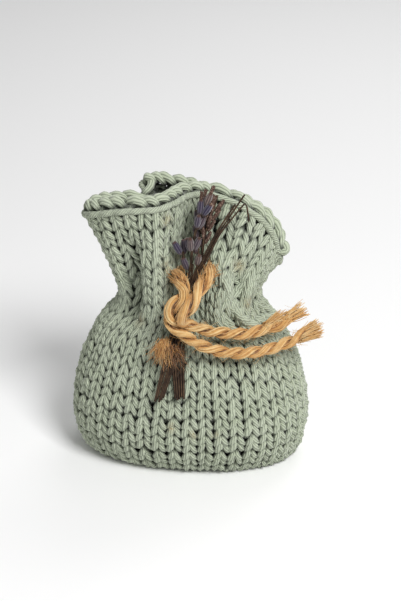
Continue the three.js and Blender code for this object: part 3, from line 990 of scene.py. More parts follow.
    def mark(self, mesh: Mesh, first: int) -> None:
        """Mark each point's painted shade, 0 on the fabric's face to 1 in the gaps, and the spots of plant
        juice.

        Args:
            mesh: the knitted panel.
            first: wale where it starts.
        """
        points = np.empty(len(mesh.vertices) * 3, np.float32)
        mesh.vertices.foreach_get("co", points)
        points = points.reshape(-1, 3) / MM
        wale = np.arange(first, first + self.shape.wales // 2 + 0.1, 1 / self.face_steps)
        course = np.arange(-1, self.shape.courses + 1, 1 / self.face_steps)
        face = self.shape.place(*(grid.ravel() for grid in np.meshgrid(wale, course)))
        tree = KDTree(len(face))
        for k, place in enumerate(face):
            tree.insert(place, k)
        tree.balance()
        deep = np.array([tree.find(point)[2] for point in points])
        # Painted shade: the deeper a point lies under the face, the darker it is painted, growing lighter
        # again on the inner face that looks into the bag.
        shade = np.clip((deep - self.lit_mm) / (self.dark_mm - self.lit_mm), 0, 1)
        shade *= np.clip((self.inner_mm - deep) / self.inner_fade, self.inner_least, 1)
        keep_values(mesh, "shade", shade)
        amount = np.zeros(len(points))
        for spot in self.stains:
            middle = self.shape.place(np.array(spot.wale), np.array(spot.course))
            amount += np.exp(-(np.linalg.norm(points - middle, axis=1) / spot.size) ** 2)
        keep_values(mesh, "stain", amount)

    def base(self) -> None:
        """Knit the flat base, whose courses run from side to side under the bag."""
        rng = np.random.default_rng(self.base_seed)
        foot = self.shape.sections[0]
        strands = []
        for k in range(-self.base_rows, self.base_rows + 1):
            y = k * self.base_row * self.base_overlap
            room = foot.width * math.sqrt(max(1 - (2 * y / foot.depth) ** 2, 0.0)) - self.base_margin
            stitches = int(max(0.0, room) / self.base_stitch)
            if stitches < self.base_least:
                continue
            turn, aside = self.loops(rng, stitches, (self.base_stray,))
            x = self.base_stitch * (turn / TURN - stitches / 2 + self.lean * np.sin(2 * turn)) + aside
            radius = self.radius * (1 - self.head_slim * np.cos(2 * turn))
            tucked = (1 + np.cos(2 * turn)) / 2
            across = y + self.reach * self.base_row * np.cos(turn)
            path = np.column_stack([x, across, radius + 2 * self.depth * tucked])
            # Painted shade: the tucked share is also the strand's shade, so the heads and feet of its loops
            # are painted darker.
            strands.append(Strand(path, radius, self.twist, tucked))
        base = strands_to_mesh("knit_base", strands, self.sides)
        dress(base, Slot.COTTON, ("knit_bag",), Body.BAG, self.yarn)

    def build(self) -> None:
        """Knit all panels."""
        self.panel("knit_front", 0, Lay.DOWNWARDS)
        self.panel("knit_back", self.shape.wales // 2, Lay.UPWARDS)
        self.base()


@dataclass
class RimChain:
    """Cast-off edge of the mouth: an outer strand and, inside it, a chain of slanted loops. Sizes in mm.

    A loop's profiles are along its length, of its way out, its rise, its share of the radius and its painted
    shade, darkest at its ends where they tuck in.
    Its strays are of its start in stitches, its reach as a share, its rise, and its radius as a share.
    """

    shape: BagShape
    yarn: Material
    strand: float = 1.42
    strand_swell: float = 0.05
    strand_place: tuple[float, float] = (-0.7, -1.5)
    wobble: float = 0.2
    loop: float = 1.9
    loop_wales: float = 1.5
    loop_points: int = 13
    outs: Profile = ((0.0, 0.3, 0.7, 1.0), (-6.4, -5.4, -3.7, -2.0))
    rises: Profile = ((0.0, 0.25, 0.55, 0.85, 1.0), (-0.8, 1.4, 2.3, 1.2, -0.6))
    swells: Profile = ((0.0, 0.2, 0.55, 0.85, 1.0), (0.5, 0.8, 1.0, 0.8, 0.5))
    tuck_shades: Profile = ((0.0, 0.2, 0.85, 1.0), (1.0, 0.0, 0.0, 1.0))
    strays: tuple[float, ...] = (0.06, 0.05, 0.15, 0.05)
    per_wale: int = 8
    sides: int = 10
    twist: float = -0.62
    loop_twist: float = -0.12
    seed: int = 21

    def build(self) -> None:
        """Lay the strand and the loops round the rim."""
        rng = np.random.default_rng(self.seed)
        wales = self.shape.wales
        fine = np.linspace(0, wales, wales * self.per_wale + 1)
        wave = np.cos(TURN * fine)
        out, rise = self.strand_place
        rail = self.at(fine, out + self.wobble * wave, rise)
        strands = [Strand(rail, self.strand * (1 + self.strand_swell * wave), self.twist)]
        step = np.linspace(0, 1, self.loop_points)
        outs, rises, swells, tuck_shades = (np.interp(step, *profile) for profile in
                                      (self.outs, self.rises, self.swells, self.tuck_shades))
        for k in range(wales):
            aside, longer, higher, fatter = (rng.normal(0, size) for size in self.strays)
            reach = self.loop_wales * (1 + longer)
            line = self.at(k + aside + reach * step, outs, rises + higher)
            radius = self.loop * swells * (1 + fatter)
            # Painted shade: the loop's ends, where they tuck in, are painted darker.
            strands.append(Strand(line, radius, self.loop_twist, tuck_shades))
        chain = strands_to_mesh("rim_chain", strands, self.sides)
        dress(chain, Slot.COTTON, ("knit_bag",), Body.BAG, self.yarn)

    def at(self, wale: Array, out: Array, rise: Array | float) -> Array:
        """Give places on the rim.

        Args:
            wale: stitches round the bag from the left seam.
            out: how far out across the edge, in mm.
            rise: how far up along the fabric, in mm.

        Returns:
            The points.
        """
        rows = np.full(np.shape(wale), float(self.shape.courses))
        up = unit(self.shape.place(wale, rows) - self.shape.place(wale, rows - 1.0))
        return self.shape.place(wale, rows, out) + up * np.broadcast_to(rise, np.shape(wale))[..., None]


# Seams and liner


@dataclass
class Seams:
    """Sewing yarn up the inside of both edges of the strip. Sizes in mm."""

    shape: BagShape
    yarn: Material
    inset: float = 5.4
    radius: float = 1.05
    stitch: float = 5.2
    swing: float = 1.2
    points: int = 160
    sides: int = 8
    twist: float = -0.3

    def build(self) -> None:
        """Sew up both edges with a line that swings from one panel to the other."""
        for name, side in (("side_seam_left", -1), ("side_seam_right", 1)):
            edge = [(side * (section.width / 2 - self.inset), section.back, section.height)
                    for section in self.shape.sections[1:]]
            line = smooth_line(edge, self.points)
            phase = TURN * np.linspace(0, length_of(line) / self.stitch, self.points)
            line[:, 1] += self.swing * np.sin(phase)
            thread = Strand(line, self.radius, self.twist)
            seam = strands_to_mesh(name + "_yarn", [thread], self.sides)
            dress(seam, Slot.COTTON, (name,), Body.BAG, self.yarn)


LOFT_GAP = 1e-6


def lofted(name: str, rings: Array) -> Object:
    """Make a mesh through rings of points, from a grid whose sides are joined.

    Args:
        name: name of the new object.
        rings: points of shape (rings, points round, 3), in mm, the first ring shrunk to its middle.

    Returns:
        The mesh object, linked to the scene.
    """
    rows, columns = rings.shape[:2]
    shape = bmesh.new()
    bmesh.ops.create_grid(shape, x_segments=columns, y_segments=rows - 1, size=1.0)
    for vert in shape.verts:
        column = round((vert.co.x + 1) / 2 * columns) % columns
        row = round((vert.co.y + 1) / 2 * (rows - 1))
        vert.co = Vector(rings[row, column] * MM)
    mesh = bpy.data.meshes.new(name)
    to_closed_mesh(shape, mesh, LOFT_GAP)
    return link_mesh(name, mesh)


@dataclass
class Liner:
    """Organza pouch of lavender buds, gathered by a thread. Sizes in mm."""

    shape: BagShape
    cloth: Material
    thread: Material
    bud: Material
    inset: float = 9.0
    floor: float = 4.3
    neck: float = 10.4
    mouth: float = 17.4
    back: float = 3.0
    tie_height: float = 58.0
    tie_turns: float = 2.1
    tie_rise: float = 1.3
    tie_gap: float = 0.75
    tie_radius: float = 0.6
    tie_twist: float = -0.4
    tie_points: int = 110
    tie_sides: int = 8
    gather: float = 5.0
    top_height: float = 66.0
    folds: int = 11
    fold_depth: float = 0.1
    fold_reach: float = 12.0
    cloth_thick: float = 0.3
    chest: int = 4
    shrunk: Point = (1e-4, 1e-4, 1)
    smaller: Point = (0.9, 0.9, 1)
    pouch_rows: int = 72
    heap_rows: int = 40
    fill_inset: float = 10.0
    fill_floor: float = 5.3
    fill_height: float = 46.0
    crown: tuple[float, float] = (29.0, 15.0)
    buds: int = 620
    bud_rows: tuple[int, int] = (3, 38)
    bud_length: float = 4.6
    bud_width: float = 1.7
    bud_faces: tuple[int, int] = (6, 4)
    round_points: int = 96
    seed: int = 91

    def body(self, inset: float, floor: float) -> list[Array]:
        """Give the bag's own ovals up to the chest, drawn in by an inset, with a floor at a height."""
        ovals = [section.drawn_in(inset, floor).outline() for section in self.shape.sections[:self.chest]]
        return [ovals[0] * self.shrunk, ovals[0] * self.smaller, *ovals]

    def loft(self, outlines: list[Array], rows: int) -> Array:
        """Run smooth lines up through outlines and give them as rings.

        Args:
            outlines: the outlines, from the bottom up.
            rows: number of rings.

        Returns:
            Points of shape (rows, points round, 3), in mm.
        """
        rings = np.array([smooth_line(outline, self.round_points, closed=True) for outline in outlines])
        columns = [smooth_line(rings[:, k], rows) for k in range(self.round_points)]
        return np.array(columns).transpose(1, 0, 2)

    def build(self) -> None:
        """Make the pouch, its thread and the buds."""
        half = self.gather / 2
        rounds = [Section(self.neck, self.neck, self.tie_height + up, self.back, 1)
                  for up in (-half, 0, half)]
        rounds.append(Section(self.mouth, self.mouth, self.top_height, self.back, 1))
        outlines = [*self.body(self.inset, self.floor), *(section.outline() for section in rounds)]
        rings = self.loft(outlines, self.pouch_rows)
        angle = TURN * np.arange(self.round_points) / self.round_points
        near = np.exp(-((rings[..., 2] - self.tie_height) / self.fold_reach) ** 2)
        ripple = 1 + self.fold_depth * near * (np.cos(self.folds * angle) - 1)
        middle = rings.mean(axis=1, keepdims=True)
        rings[..., :2] = middle[..., :2] + (rings - middle)[..., :2] * ripple[..., None]
        pouch = lofted("organza_pouch", rings)
        thick = pouch.modifiers.new("cloth", "SOLIDIFY")
        thick.thickness = self.cloth_thick * MM
        thick.offset = -1.0
        dress(pouch, Slot.ORGANZA, ("liner_pouch",), Body.BAG, self.cloth)
        self.tie()
        self.fill()

    def tie(self) -> None:
        """Wind the thread twice round the pouch's neck."""
        turn = np.linspace(0, self.tie_turns * TURN, self.tie_points)
        ring = self.neck / 2 + self.tie_gap
        height = self.tie_height - self.tie_rise / 2 + self.tie_rise * turn / turn[-1]
        line = np.column_stack([ring * np.cos(turn), self.back + ring * np.sin(turn), height])
        thread = Strand(line, self.tie_radius, self.tie_twist)
        tie = strands_to_mesh("liner_thread", [thread], self.tie_sides)
        dress(tie, Slot.COTTON, ("liner_tie",), Body.BAG, self.thread)

    def fill(self) -> None:
        """Heap the buds: a plain heap with single buds laid all over it."""
        rng = np.random.default_rng(self.seed)
        top = Section(*self.crown, self.fill_height, self.shape.sections[self.chest - 1].back, 1).outline()
        sides = self.body(self.fill_inset + self.bud_width / 2, self.fill_floor)
        rings = self.loft([*sides, top, top * self.shrunk], self.heap_rows)
        heap = lofted("lavender_heap", rings)
        single = bpy.data.meshes.new("bud")
        shape = bmesh.new()
        shape.loops.layers.uv.new("UVMap")
        around, along = self.bud_faces
        bmesh.ops.create_uvsphere(shape, u_segments=around, v_segments=along, radius=1.0, calc_uvs=True)
        half_width, half_length = self.bud_width / 2 * MM, self.bud_length / 2 * MM
        bmesh.ops.scale(shape, vec=(half_width, half_width, half_length), verts=shape.verts)
        shape.to_mesh(single)
        shape.clear()
        shape.from_mesh(heap.data)
        for _ in range(self.buds):
            seat = rings[rng.integers(*self.bud_rows), rng.integers(0, self.round_points)]
            spun = Matrix.Rotation(rng.uniform(0, TURN), 4, "Z")
            turned = spun @ Matrix.Rotation(rng.uniform(0, math.pi), 4, "X")
            copy = single.copy()
            copy.transform(Matrix.Translation(Vector(seat * MM)) @ turned)
            shape.from_mesh(copy)
            bpy.data.meshes.remove(copy)
        shape.to_mesh(heap.data)
        shape.free()
        bpy.data.meshes.remove(single)
        heap.data.shade_smooth()
        dress(heap, Slot.FLOWER, ("lavender_fill",), Body.BAG, self.bud)


# Jute twine

FROM_NECK = (0, 0, BagShape.neck_height)
UPPER_ROUTE = (
    (9.2, -7.2, 16.4), (9.7, -10.4, 16.7), (8, -16.9, 14.9), (5.4, -22.2, 11.7), (3, -25.8, 7.9),
    (0.4, -26.6, 4.4), (-0.8, -25.6, 1.6), (0.6, -24, -0.9), (3.6, -23.5, -2.4),
    (6.8, -23.2, -3.6), (11, -22.6, -4.9), (18, -21.6, -6.1), (27, -19.6, -6.5), (36, -15.3, -5),
    (42, -11.3, -2.4),
)
LOWER_ROUTE = (
    (-3.8, -9.4, 14.3), (-3.7, -13, 15.3), (-1.4, -17.6, 14.6), (0.1, -20.7, 12.3), (-0.8, -23, 9.8),
    (-3.6, -23.9, 7.4), (-5.6, -24.4, 3.6), (-5.2, -25.2, 0), (-1.8, -26, -3.6), (3.2, -26.6, -6.9),
    (6.8, -26.6, -8.9), (11, -26, -11), (17, -25, -13.1), (25, -23.6, -13.9), (34, -19.8, -14.1),
    (43, -15.2, -12.5), (49.5, -12.3, -10.1),
)
DRAWSTRING_ROUTE = (
    (8.8, -6.4, 16), (8.8, -2.5, 14.4), (9.6, 1.6, 11.5), (13, 3.9, 8.6), (16.6, 5.3, 6.8), (17.7, 8, 5.9),
    (14.8, 10.7, 5.3), (6, 11.4, 5), (-6, 11.4, 5), (-14.8, 10.7, 5.3), (-17.7, 8, 5.9), (-16.6, 5, 6.8),
    (-12.6, 3.3, 8.6), (-6.8, 1.2, 11.1), (-3.9, -3.4, 13), (-3.4, -8.6, 14.1),
)


def eased(x: Array, low: float, high: float) -> Array:
    """Go smoothly from 0 at low to 1 at high."""
    t = np.clip((x - low) / (high - low), 0, 1)
    return t * t * (3 - 2 * t)


HAIR_POINTS = 6
HAIR_TIP = 0.45
HAIR_WAVER = 0.4
HAIR_WAVES = 3.5
HAIR_SHADES = (0.3, 1.1)


def stray_hair(rng: Rng, root: Array, heading: Array, length: float,
               radius: float, curl: float) -> Strand:
    """Grow one loose fibre.

    Args:
        rng: source of its curl.
        root: where it starts, in mm.
        heading: the way that it starts out.
        length: its length in mm.
        radius: its radius in mm at the root.
        curl: how far it bends from its way, as a share of its length.

    Returns:
        The fibre, thinner towards its tip.
    """
    t = np.linspace(0, 1, HAIR_POINTS)[:, None]
    bend = rng.normal(0, curl, 3)
    waver = rng.normal(0, curl * HAIR_WAVER, 3)
    line = root + length * (heading * t + bend * t**2 + waver * np.sin(HAIR_WAVES * t))
    return Strand(line, radius * np.linspace(1, HAIR_TIP, HAIR_POINTS), shade=rng.uniform(*HAIR_SHADES))


def kept_near(strand: Strand, line: Array, reach: float) -> Strand:
    """Draw a fibre's points in towards a line.

    Args:
        strand: the fibre.
        line: points along the line.
        reach: how far from it they may lie, in mm.

    Returns:
        The fibre drawn in.
    """
    offset = strand.points[:, None, :] - line[None, :, :]
    nearest = line[np.argmin(np.linalg.norm(offset, axis=2), axis=1)]
    away = strand.points - nearest
    far = np.linalg.norm(away, axis=1, keepdims=True)
    drawn = nearest + away * np.minimum(1, reach / np.maximum(far, 1e-6))
    return Strand(drawn, strand.radius, shade=strand.shade)


@dataclass(frozen=True)
class Opening:
    """Stretch where the twine's lay opens: from and to along the twine in mm, and how many times wider."""

    start: float
    end: float
    wider: float
    ease: float = 4.0

    def at(self, along: Array) -> Array:
        """Give how much wider the twine is at distances along it."""
        opened = eased(along, self.start - self.ease, self.start + self.ease)
        return (self.wider - 1) * opened * (1 - eased(along, self.end - self.ease, self.end + self.ease))


@dataclass
class Twine:
    """Two-ply jute twine along a route, each ply a flattened bundle of fibres. Sizes in mm.

    A pair with a name in the plural is the least and the most that is drawn for one fibre or hair.
    """

    name: str
    route: Sequence[Point]
    fibre: Material
    nodes: tuple[str, ...]
    far_end: FarEnd = FarEnd.OBJECT
    lay: CordLay = CordLay.TAUT
    openings: tuple[Opening, ...] = ()
    brush: float = 0.0
    short_ply: float = 0.0
    width: float = 4.8
    ply: float = 1.2
    core: float = 0.84
    core_end: tuple[float, float] = (0.9, 0.7)
    core_shade: float = 0.2
    flat: float = 1.35
    pitch: float = 14.5
    ply_turn: float = 0.6
    step: float = 0.85
    fibres: int = 26
    fibre_radius: float = 0.24
    fibre_end: Point = (0.85, 0.65, 0.35)
    fibre_stray: float = 0.3
    fibre_sunk: float = 0.8
    fibre_sizes: tuple[float, float] = (0.7, 1.25)
    fibre_shades: tuple[float, float] = (0, 0.9)
    ragged: int = 4
    wander: float = 0.13
    bends: int = 14
    painted_hollow_shade: float = 1.6
    hollow_from: float = 0.72
    hollow_shades: tuple[float, float] = (-0.7, 0.2)
    hairs: int = 320
    hair_sunk: float = 0.6
    hair_leads: tuple[float, float] = (0.5, 1.5)
    hair_outs: tuple[float, float] = (0.2, 0.7)
    hair_lengths: tuple[float, float] = (1.6, 5.0)
    hair_radii: tuple[float, float] = (0.05, 0.1)
    hair_curl: float = 0.16
    brush_hairs: int = 90
    brush_share: float = 0.55
    brush_roots: tuple[float, float] = (0.5, 4)
    brush_outs: tuple[float, float] = (0.02, 0.2)
    brush_leans: tuple[float, float] = (0, 0.12)
    brush_lengths: tuple[float, float] = (0.8, 1.05)
    brush_radii: tuple[float, float] = (0.16, 0.3)
    brush_curl: float = 0.06
    fine_points: int = 400
    sides: int = 6
    seed: int = 31

    def build(self) -> Object:
        """Returns:
            The dressed cord.
        """
        rng = np.random.default_rng(self.seed)
        points = np.array(self.route, float) + FROM_NECK
        if self.brush:
            points = np.vstack([points, points[-1] + unit(points[-1] - points[-2]) * self.brush])
        line = smooth_line(points, int(length_of(smooth_line(points, self.fine_points)) / self.step))
        strands = self.plies(rng, line) + self.fuzz(rng, line)
        cord = dress(strands_to_mesh(self.name, strands, self.sides), Slot.JUTE, self.nodes, None, self.fibre)
        return cord

    def plies(self, rng: Rng, line: Array) -> list[Strand]:
        """Lay two bundles of fibres round each other, each with a brush at a free end.

        Args:
            rng: source of their unevenness.
            line: points along the twine.

        Returns:
            The cores, fibres and brushes.
        """
        heading, first, second = carried_frame(line)
        along = distances(line)
        loose = 1 + sum((opening.at(along) for opening in self.openings), np.zeros(len(line)))
        turn = -TURN * np.cumsum(np.r_[0, np.diff(along)] / loose**2) / self.pitch
        gap = (self.width / 2 - self.ply) * loose
        strands = []
        for number, start in enumerate((0.0, math.pi)):
            face = np.cos(turn + start)[:, None] * first + np.sin(turn + start)[:, None] * second
            side = np.cross(heading, face)
            middle = line + face * gap[:, None]
            cut = self.brush_share * self.brush + (self.short_ply if number else 0.0)
            stop = int(np.searchsorted(along, along[-1] - cut)) if self.brush else len(line)
            core = np.full(stop, self.core)
            core[-2:] *= self.core_end
            strands.append(Strand(middle[:stop], core, shade=self.core_shade))
            for k in range(self.fibres):
                aside = rng.uniform(-self.fibre_stray, self.fibre_stray)
                phase = TURN * (k + aside) / self.fibres - self.ply_turn * turn
                bends = np.linspace(0, along[-1], self.bends)
                wander = np.interp(along, bends, rng.normal(0, self.wander, self.bends))
                ring = (self.ply - self.fibre_radius * self.fibre_sunk + wander) * loose
                path = middle + ring[:, None] * (np.cos(phase)[:, None] * face
                                                 + self.flat * np.sin(phase)[:, None] * side)
                last = stop - int(rng.integers(0, self.ragged)) if self.brush else stop
                thick = self.fibre_radius * rng.uniform(*self.fibre_sizes) * np.sqrt(loose[:last])
                thick[-3:] *= self.fibre_end
                # Painted shade: fibre points near the twine's middle, in the hollow between its plies, are
                # painted darker, and those on its outside a little lighter.
                outer = np.linalg.norm(path - line, axis=1) / (self.width / 2 * loose)
                painted_hollow_shade = np.clip(self.painted_hollow_shade * (outer - self.hollow_from), *self.hollow_shades)
                tone = rng.uniform(*self.fibre_shades) + painted_hollow_shade
                strands.append(Strand(path[:last], thick, shade=tone[:last]))
            if self.brush:
                at = stop - 2
                brush = self.frayed(rng, middle[at], heading[at], unit(face[at]), side[at], loose[at])
                strands += [kept_near(hair, line, self.width) for hair in brush]
        return strands

    def frayed(self, rng: Rng, root: Array, heading: Array, face: Array,
               side: Array, loose: float) -> list[Strand]:
        """Spread the cut end of a ply into a brush of fibres.

        Args:
            rng: source of its unevenness.
            root: middle of the ply's end.
            heading: the way that the twine goes there.
            face: the way from the twine's middle to the ply's.
            side: the way across both.
            loose: how many times wider than laid up the twine is there.

        Returns:
            The fibres.
        """
        hairs = []
        for _ in range(self.brush_hairs):
            angle, reach = rng.uniform(0, TURN), math.sqrt(rng.uniform(0, 1))
            out = math.cos(angle) * face + self.flat * math.sin(angle) * side
            start = root + out * reach * self.ply * loose - heading * rng.uniform(*self.brush_roots)
            spread = out * reach * rng.uniform(*self.brush_outs)
            way = unit(heading + spread + face * rng.uniform(*self.brush_leans))
            long = self.brush * rng.uniform(*self.brush_lengths)
            thick = rng.uniform(*self.brush_radii)
            hairs.append(stray_hair(rng, start, way, long, thick, self.brush_curl))
        return hairs

    def fuzz(self, rng: Rng, line: Array) -> list[Strand]:
        """Raise loose hairs along the twine.

        Args:
            rng: source of their places and ways.
            line: points along the twine.

        Returns:
            The hairs.
        """
        heading, first, second = carried_frame(line)
        strands = []
        for _ in range(self.hairs):
            k = int(rng.integers(2, len(line) - 2))
            angle = rng.uniform(0, TURN)
            out = math.cos(angle) * first[k] + math.sin(angle) * second[k]
            lead = heading[k] * rng.choice((-1, 1)) * rng.uniform(*self.hair_leads)
            way = unit(lead + out * rng.uniform(*self.hair_outs))
            root = line[k] + out * (self.width / 2 - self.hair_sunk)
            long, thick = rng.uniform(*self.hair_lengths), rng.uniform(*self.hair_radii)
            hair = stray_hair(rng, root, way, long, thick, self.hair_curl)
            strands.append(kept_near(hair, line, self.width))
        return strands


@dataclass(frozen=True)
class Fray:
    """One spread of frayed fibres over the stems: its middle, and ranges of its fibres, in mm and radians."""

    hairs: int
    top: Point
    spread: Point
    leans: tuple[float, float]
    lengths: tuple[float, float]
    radii: tuple[float, float]
    curl: float
    shades: tuple[float, float]
    usual_lean: tuple[float, float] | None = None
    heights: tuple[float, float] = (0.6, 3.4)
    outs: tuple[float, float] = (-0.05, 0.25)

    def fibre(self, rng: Rng) -> Strand:
        """Grow one fibre.

        Args:
            rng: source of its unevenness.

        Returns:
            The fibre, in the shared frame.
        """
        if self.usual_lean:
            lean = np.clip(rng.normal(*self.usual_lean), *self.leans)
        else:
            lean = rng.uniform(*self.leans)
        top = np.array(self.top) + rng.normal(0, 1, 3) * self.spread
        way = unit(np.array([math.sin(lean), -math.cos(lean), rng.uniform(*self.outs)]))
        hair = stray_hair(rng, top, way, rng.uniform(*self.lengths), rng.uniform(*self.radii), self.curl)
        hair.points[:, 2] = np.clip(hair.points[:, 2], *self.heights)
        return Strand(Bunch.world(hair.points), hair.radius, shade=rng.uniform(*self.shades))


@dataclass
class Binding:
    """All of the twine: the drawstring in the neck, two strands with their tails, and the knot's tuft.

    Sizes in mm. The exit's values are for the fibres that fray where a strand leaves the neck.
    """

    fibre: Material
    bend: Point = (0.6, -0.3, -0.75)
    before: float = 2.5
    after: float = 4.0
    brush: float = 8.0
    upper_hinge: Point = (4, -23.4, -2.5)
    lower_hinge: Point = (4.4, -26.6, -7.6)
    fan: Fray = Fray(120, (-1.6, -5.4, 1.2), (1.0, 0.8, 0.35), (-0.95, 0.6), (5.0, 11.5), (0.09, 0.2), 0.1,
                     (-0.2, 0.85), (-0.28, 0.36))
    tangle: Fray = Fray(85, (2.6, -8.5, 1.2), (1.9, 1.9, 0.5), (-1.1, 1.4), (4.0, 8.5), (0.05, 0.1), 0.3,
                        (-0.5, 0.2))
    exit_hairs: int = 70
    exit_points: int = 24
    exit_span: tuple[int, int] = (1, 18)
    exit_leans: tuple[float, float] = (0.1, 0.5)
    exit_outs: tuple[float, float] = (2.0, 2.8)
    exit_lengths: tuple[float, float] = (2.5, 5.5)
    exit_radii: tuple[float, float] = (0.08, 0.17)
    exit_curl: float = 0.2
    exit_shades: tuple[float, float] = (-0.1, 0.7)
    tuft_sides: int = 4
    seed: int = 53

    def build(self) -> None:
        """Make every piece of twine."""
        drawstring = Twine("drawstring", DRAWSTRING_ROUTE, self.fibre, ("neck_drawstring",), hairs=40)
        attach(drawstring.build(), Body.BAG.value)
        upper = Twine("twine_upper", UPPER_ROUTE, self.fibre, ("twine_strand_upper", "twine_tail_upper"),
                      FarEnd.BARE, CordLay.LOOSE, (Opening(3, 33, 1.22), Opening(72, 120, 1.5)), self.brush,
                      short_ply=9.0, seed=32)
        self.hinge(upper.build(), Body.TAIL_UPPER, self.upper_hinge)
        lower = Twine("twine_lower", LOWER_ROUTE, self.fibre, ("twine_strand_lower", "twine_tail_lower"),
                      FarEnd.BARE, CordLay.LOOSE, (Opening(3, 31, 1.22), Opening(92, 130, 1.35)), self.brush,
                      short_ply=1.0, seed=33)
        self.hinge(lower.build(), Body.TAIL_LOWER, self.lower_hinge)
        self.tuft()

    def hinge(self, cord: Object, tail: Body, place: Point) -> None:
        """Let a cord's tail bend away from its strand.

        Args:
            cord: the strand with its tail.
            tail: the tail's body.
            place: where it bends, from the neck.
        """
        way = unit(np.array(self.bend))
        middle = np.array(place) + FROM_NECK
        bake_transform(cord, Body.BAG.value, tail.value, start=tuple((middle - way * self.before) * MM),
                 end=tuple((middle + way * self.after) * MM))

    def tuft(self) -> None:
        """Fray the knot's short end over the stems, in a fan and a tangle, and the strands at the neck."""
        rng = np.random.default_rng(self.seed)
        strands = [fray.fibre(rng) for fray in (self.fan, self.tangle) for _ in range(fray.hairs)]
        for route in (UPPER_ROUTE, LOWER_ROUTE):
            line = smooth_line(np.array(route[1:4], float) + FROM_NECK, self.exit_points)
            strands += [self.exit_hair(rng, line) for _ in range(self.exit_hairs)]
        tuft = strands_to_mesh("knot_tuft_fibres", strands, self.tuft_sides)
        dress(tuft, Slot.JUTE, ("knot_tuft",), Body.BAG, self.fibre)

    def exit_hair(self, rng: Rng, line: Array) -> Strand:
        """Grow one fibre that frays back off a strand where it leaves the neck.

        Args:
            rng: source of its place and way.
            line: points along the strand there.

        Returns:
            The fibre.
        """
        at = int(rng.integers(*self.exit_span))
        back = unit(line[at - 1] - line[at + 1])
        off = unit(np.cross(back, rng.normal(0, 1, 3)))
        off = off if off[1] < 0 else -off
        way = unit(back + off * rng.uniform(*self.exit_leans))
        root = line[at] + off * rng.uniform(*self.exit_outs)
        long, thick = rng.uniform(*self.exit_lengths), rng.uniform(*self.exit_radii)
        hair = stray_hair(rng, root, way, long, thick, self.exit_curl)
        return Strand(hair.points, hair.radius, shade=rng.uniform(*self.exit_shades))


# Lavender bunch

BUNCH_LEAN = math.radians(22)
BUNCH_ORIGIN = (-6.0, -21.2766, 70.0)


class Row(Enum):
    """Rows of stems in the twine, by how far each lies out of the bunch's plane in mm."""

    FRONT = -0.3
    BACK = -1.7


@dataclass(frozen=True)
class Bloom:
    """One calyx: its share of the way up a stem, its turn round it in degrees, and how far it has faded."""

    share: float
    turn: float
    fade: float = 0.15
    husk: bool = False


@dataclass(frozen=True)
class Sprig:
    """One stem of the bunch: its slot in a row, its foot and top in the bunch's plane in mm, and its calyxes.

    Points are across, along and out of that plane. A spent sprig has withered calyxes only.
    """

    name: str
    row: Row
    slot: int
    foot: tuple[float, float]
    top: tuple[Point, ...]
    calyxes: tuple[Bloom, ...] = ()
    spent: bool = False
    waist: Point = (0.9, 1.3, -2.0)
    throat: Point = (7.0, 1.05, 22.0)

    def points(self) -> list[Point]:
        """Give its points from the foot up, the slots side by side at the row's waist and throat.

        Returns:
            The points, in mm.
        """
        out = self.row.value
        held = [(first + step * self.slot, along, out) for first, step, along in (self.waist, self.throat)]
        return [(*self.foot, out), *held, *self.top]


SPRIGS = (
    Sprig("sprig_tall", Row.FRONT, 0, (-5.0, -31.6), ((8.4, 34, 2.6), (9.9, 42.7, 2.8), (13.2, 52.5, 2.8)),
          (Bloom(0.765, 245, 0.7), Bloom(0.77, -15, 0.45), Bloom(0.76, 175, 0.2), Bloom(0.875, 262, 0.2),
           Bloom(0.87, 50, 0.5), Bloom(0.94, 215, 0.1, True), Bloom(0.94, 322, 0.0, True),
           Bloom(0.95, 60, 0.5, True), Bloom(0.955, 130, 0.5, True), Bloom(0.99, 280, 0.9, True))),
    Sprig("sprig_left", Row.BACK, 0, (3.4, -30.1), ((5.4, 27, 0), (4.2, 32.2, 1)),
          (Bloom(0.86, 205, 0.3), Bloom(0.975, 70, 0.3), Bloom(0.98, 190, 0.05))),
    Sprig("sprig_middle", Row.BACK, 2, (5.2, -30.4), ((10.6, 27, 0.8), (10.6, 36, -1.5), (11.4, 47, -2.5)),
          (Bloom(0.725, 110, 0.9), Bloom(0.8, 180, 0.5), Bloom(0.84, 20, 0.6), Bloom(0.88, 190, 0.5),
           Bloom(0.92, 0, 0.6), Bloom(0.95, 180, 0.4), Bloom(0.97, 20, 0.5))),
    Sprig("sprig_right", Row.BACK, 4, (7.0, -30.2), ((12.9, 38.9, -0.5), (16, 50, -1), (17.4, 56, -1)),
          (Bloom(0.76, 10), Bloom(0.78, 250), Bloom(0.8, 190), Bloom(0.82, -10), Bloom(0.84, 280),
           Bloom(0.86, 190), Bloom(0.875, 0), Bloom(0.9, 250), Bloom(0.92, 10)), True),
    Sprig("stem_short_front", Row.FRONT, 1, (-4.1, -30.6), ((8.6, 27, -0.3),)),
    Sprig("stem_short_left", Row.BACK, 1, (4.3, -30.9), ((8.3, 27, -1.7),)),
    Sprig("stem_short_right", Row.BACK, 3, (6.1, -29.4), ((11.9, 28, -1.7),)),
    Sprig("stem_bare_1", Row.FRONT, 2, (-3.2, -31.8),
          ((12, 28, 0.6), (15.4, 35.4, 1.9), (18.8, 42, 2.4), (25.4, 53, 3.4))),
    Sprig("stem_bare_2", Row.FRONT, 3, (-2.4, -30.9),
          ((12.9, 28, 0.3), (16.2, 35.2, 1), (19.7, 42, 1.2), (28.9, 57, 1.2))),
    Sprig("stem_bare_3", Row.FRONT, 4, (-1.6, -29.9),
          ((13.7, 28, 0.7), (17, 35, 2.2), (20.5, 41.8, 2.8), (28.6, 52.7, 3.2), (29.4, 53.4, 3.3),
           (30.2, 52, 3.4), (31.3, 45.8, 3.4))),
)


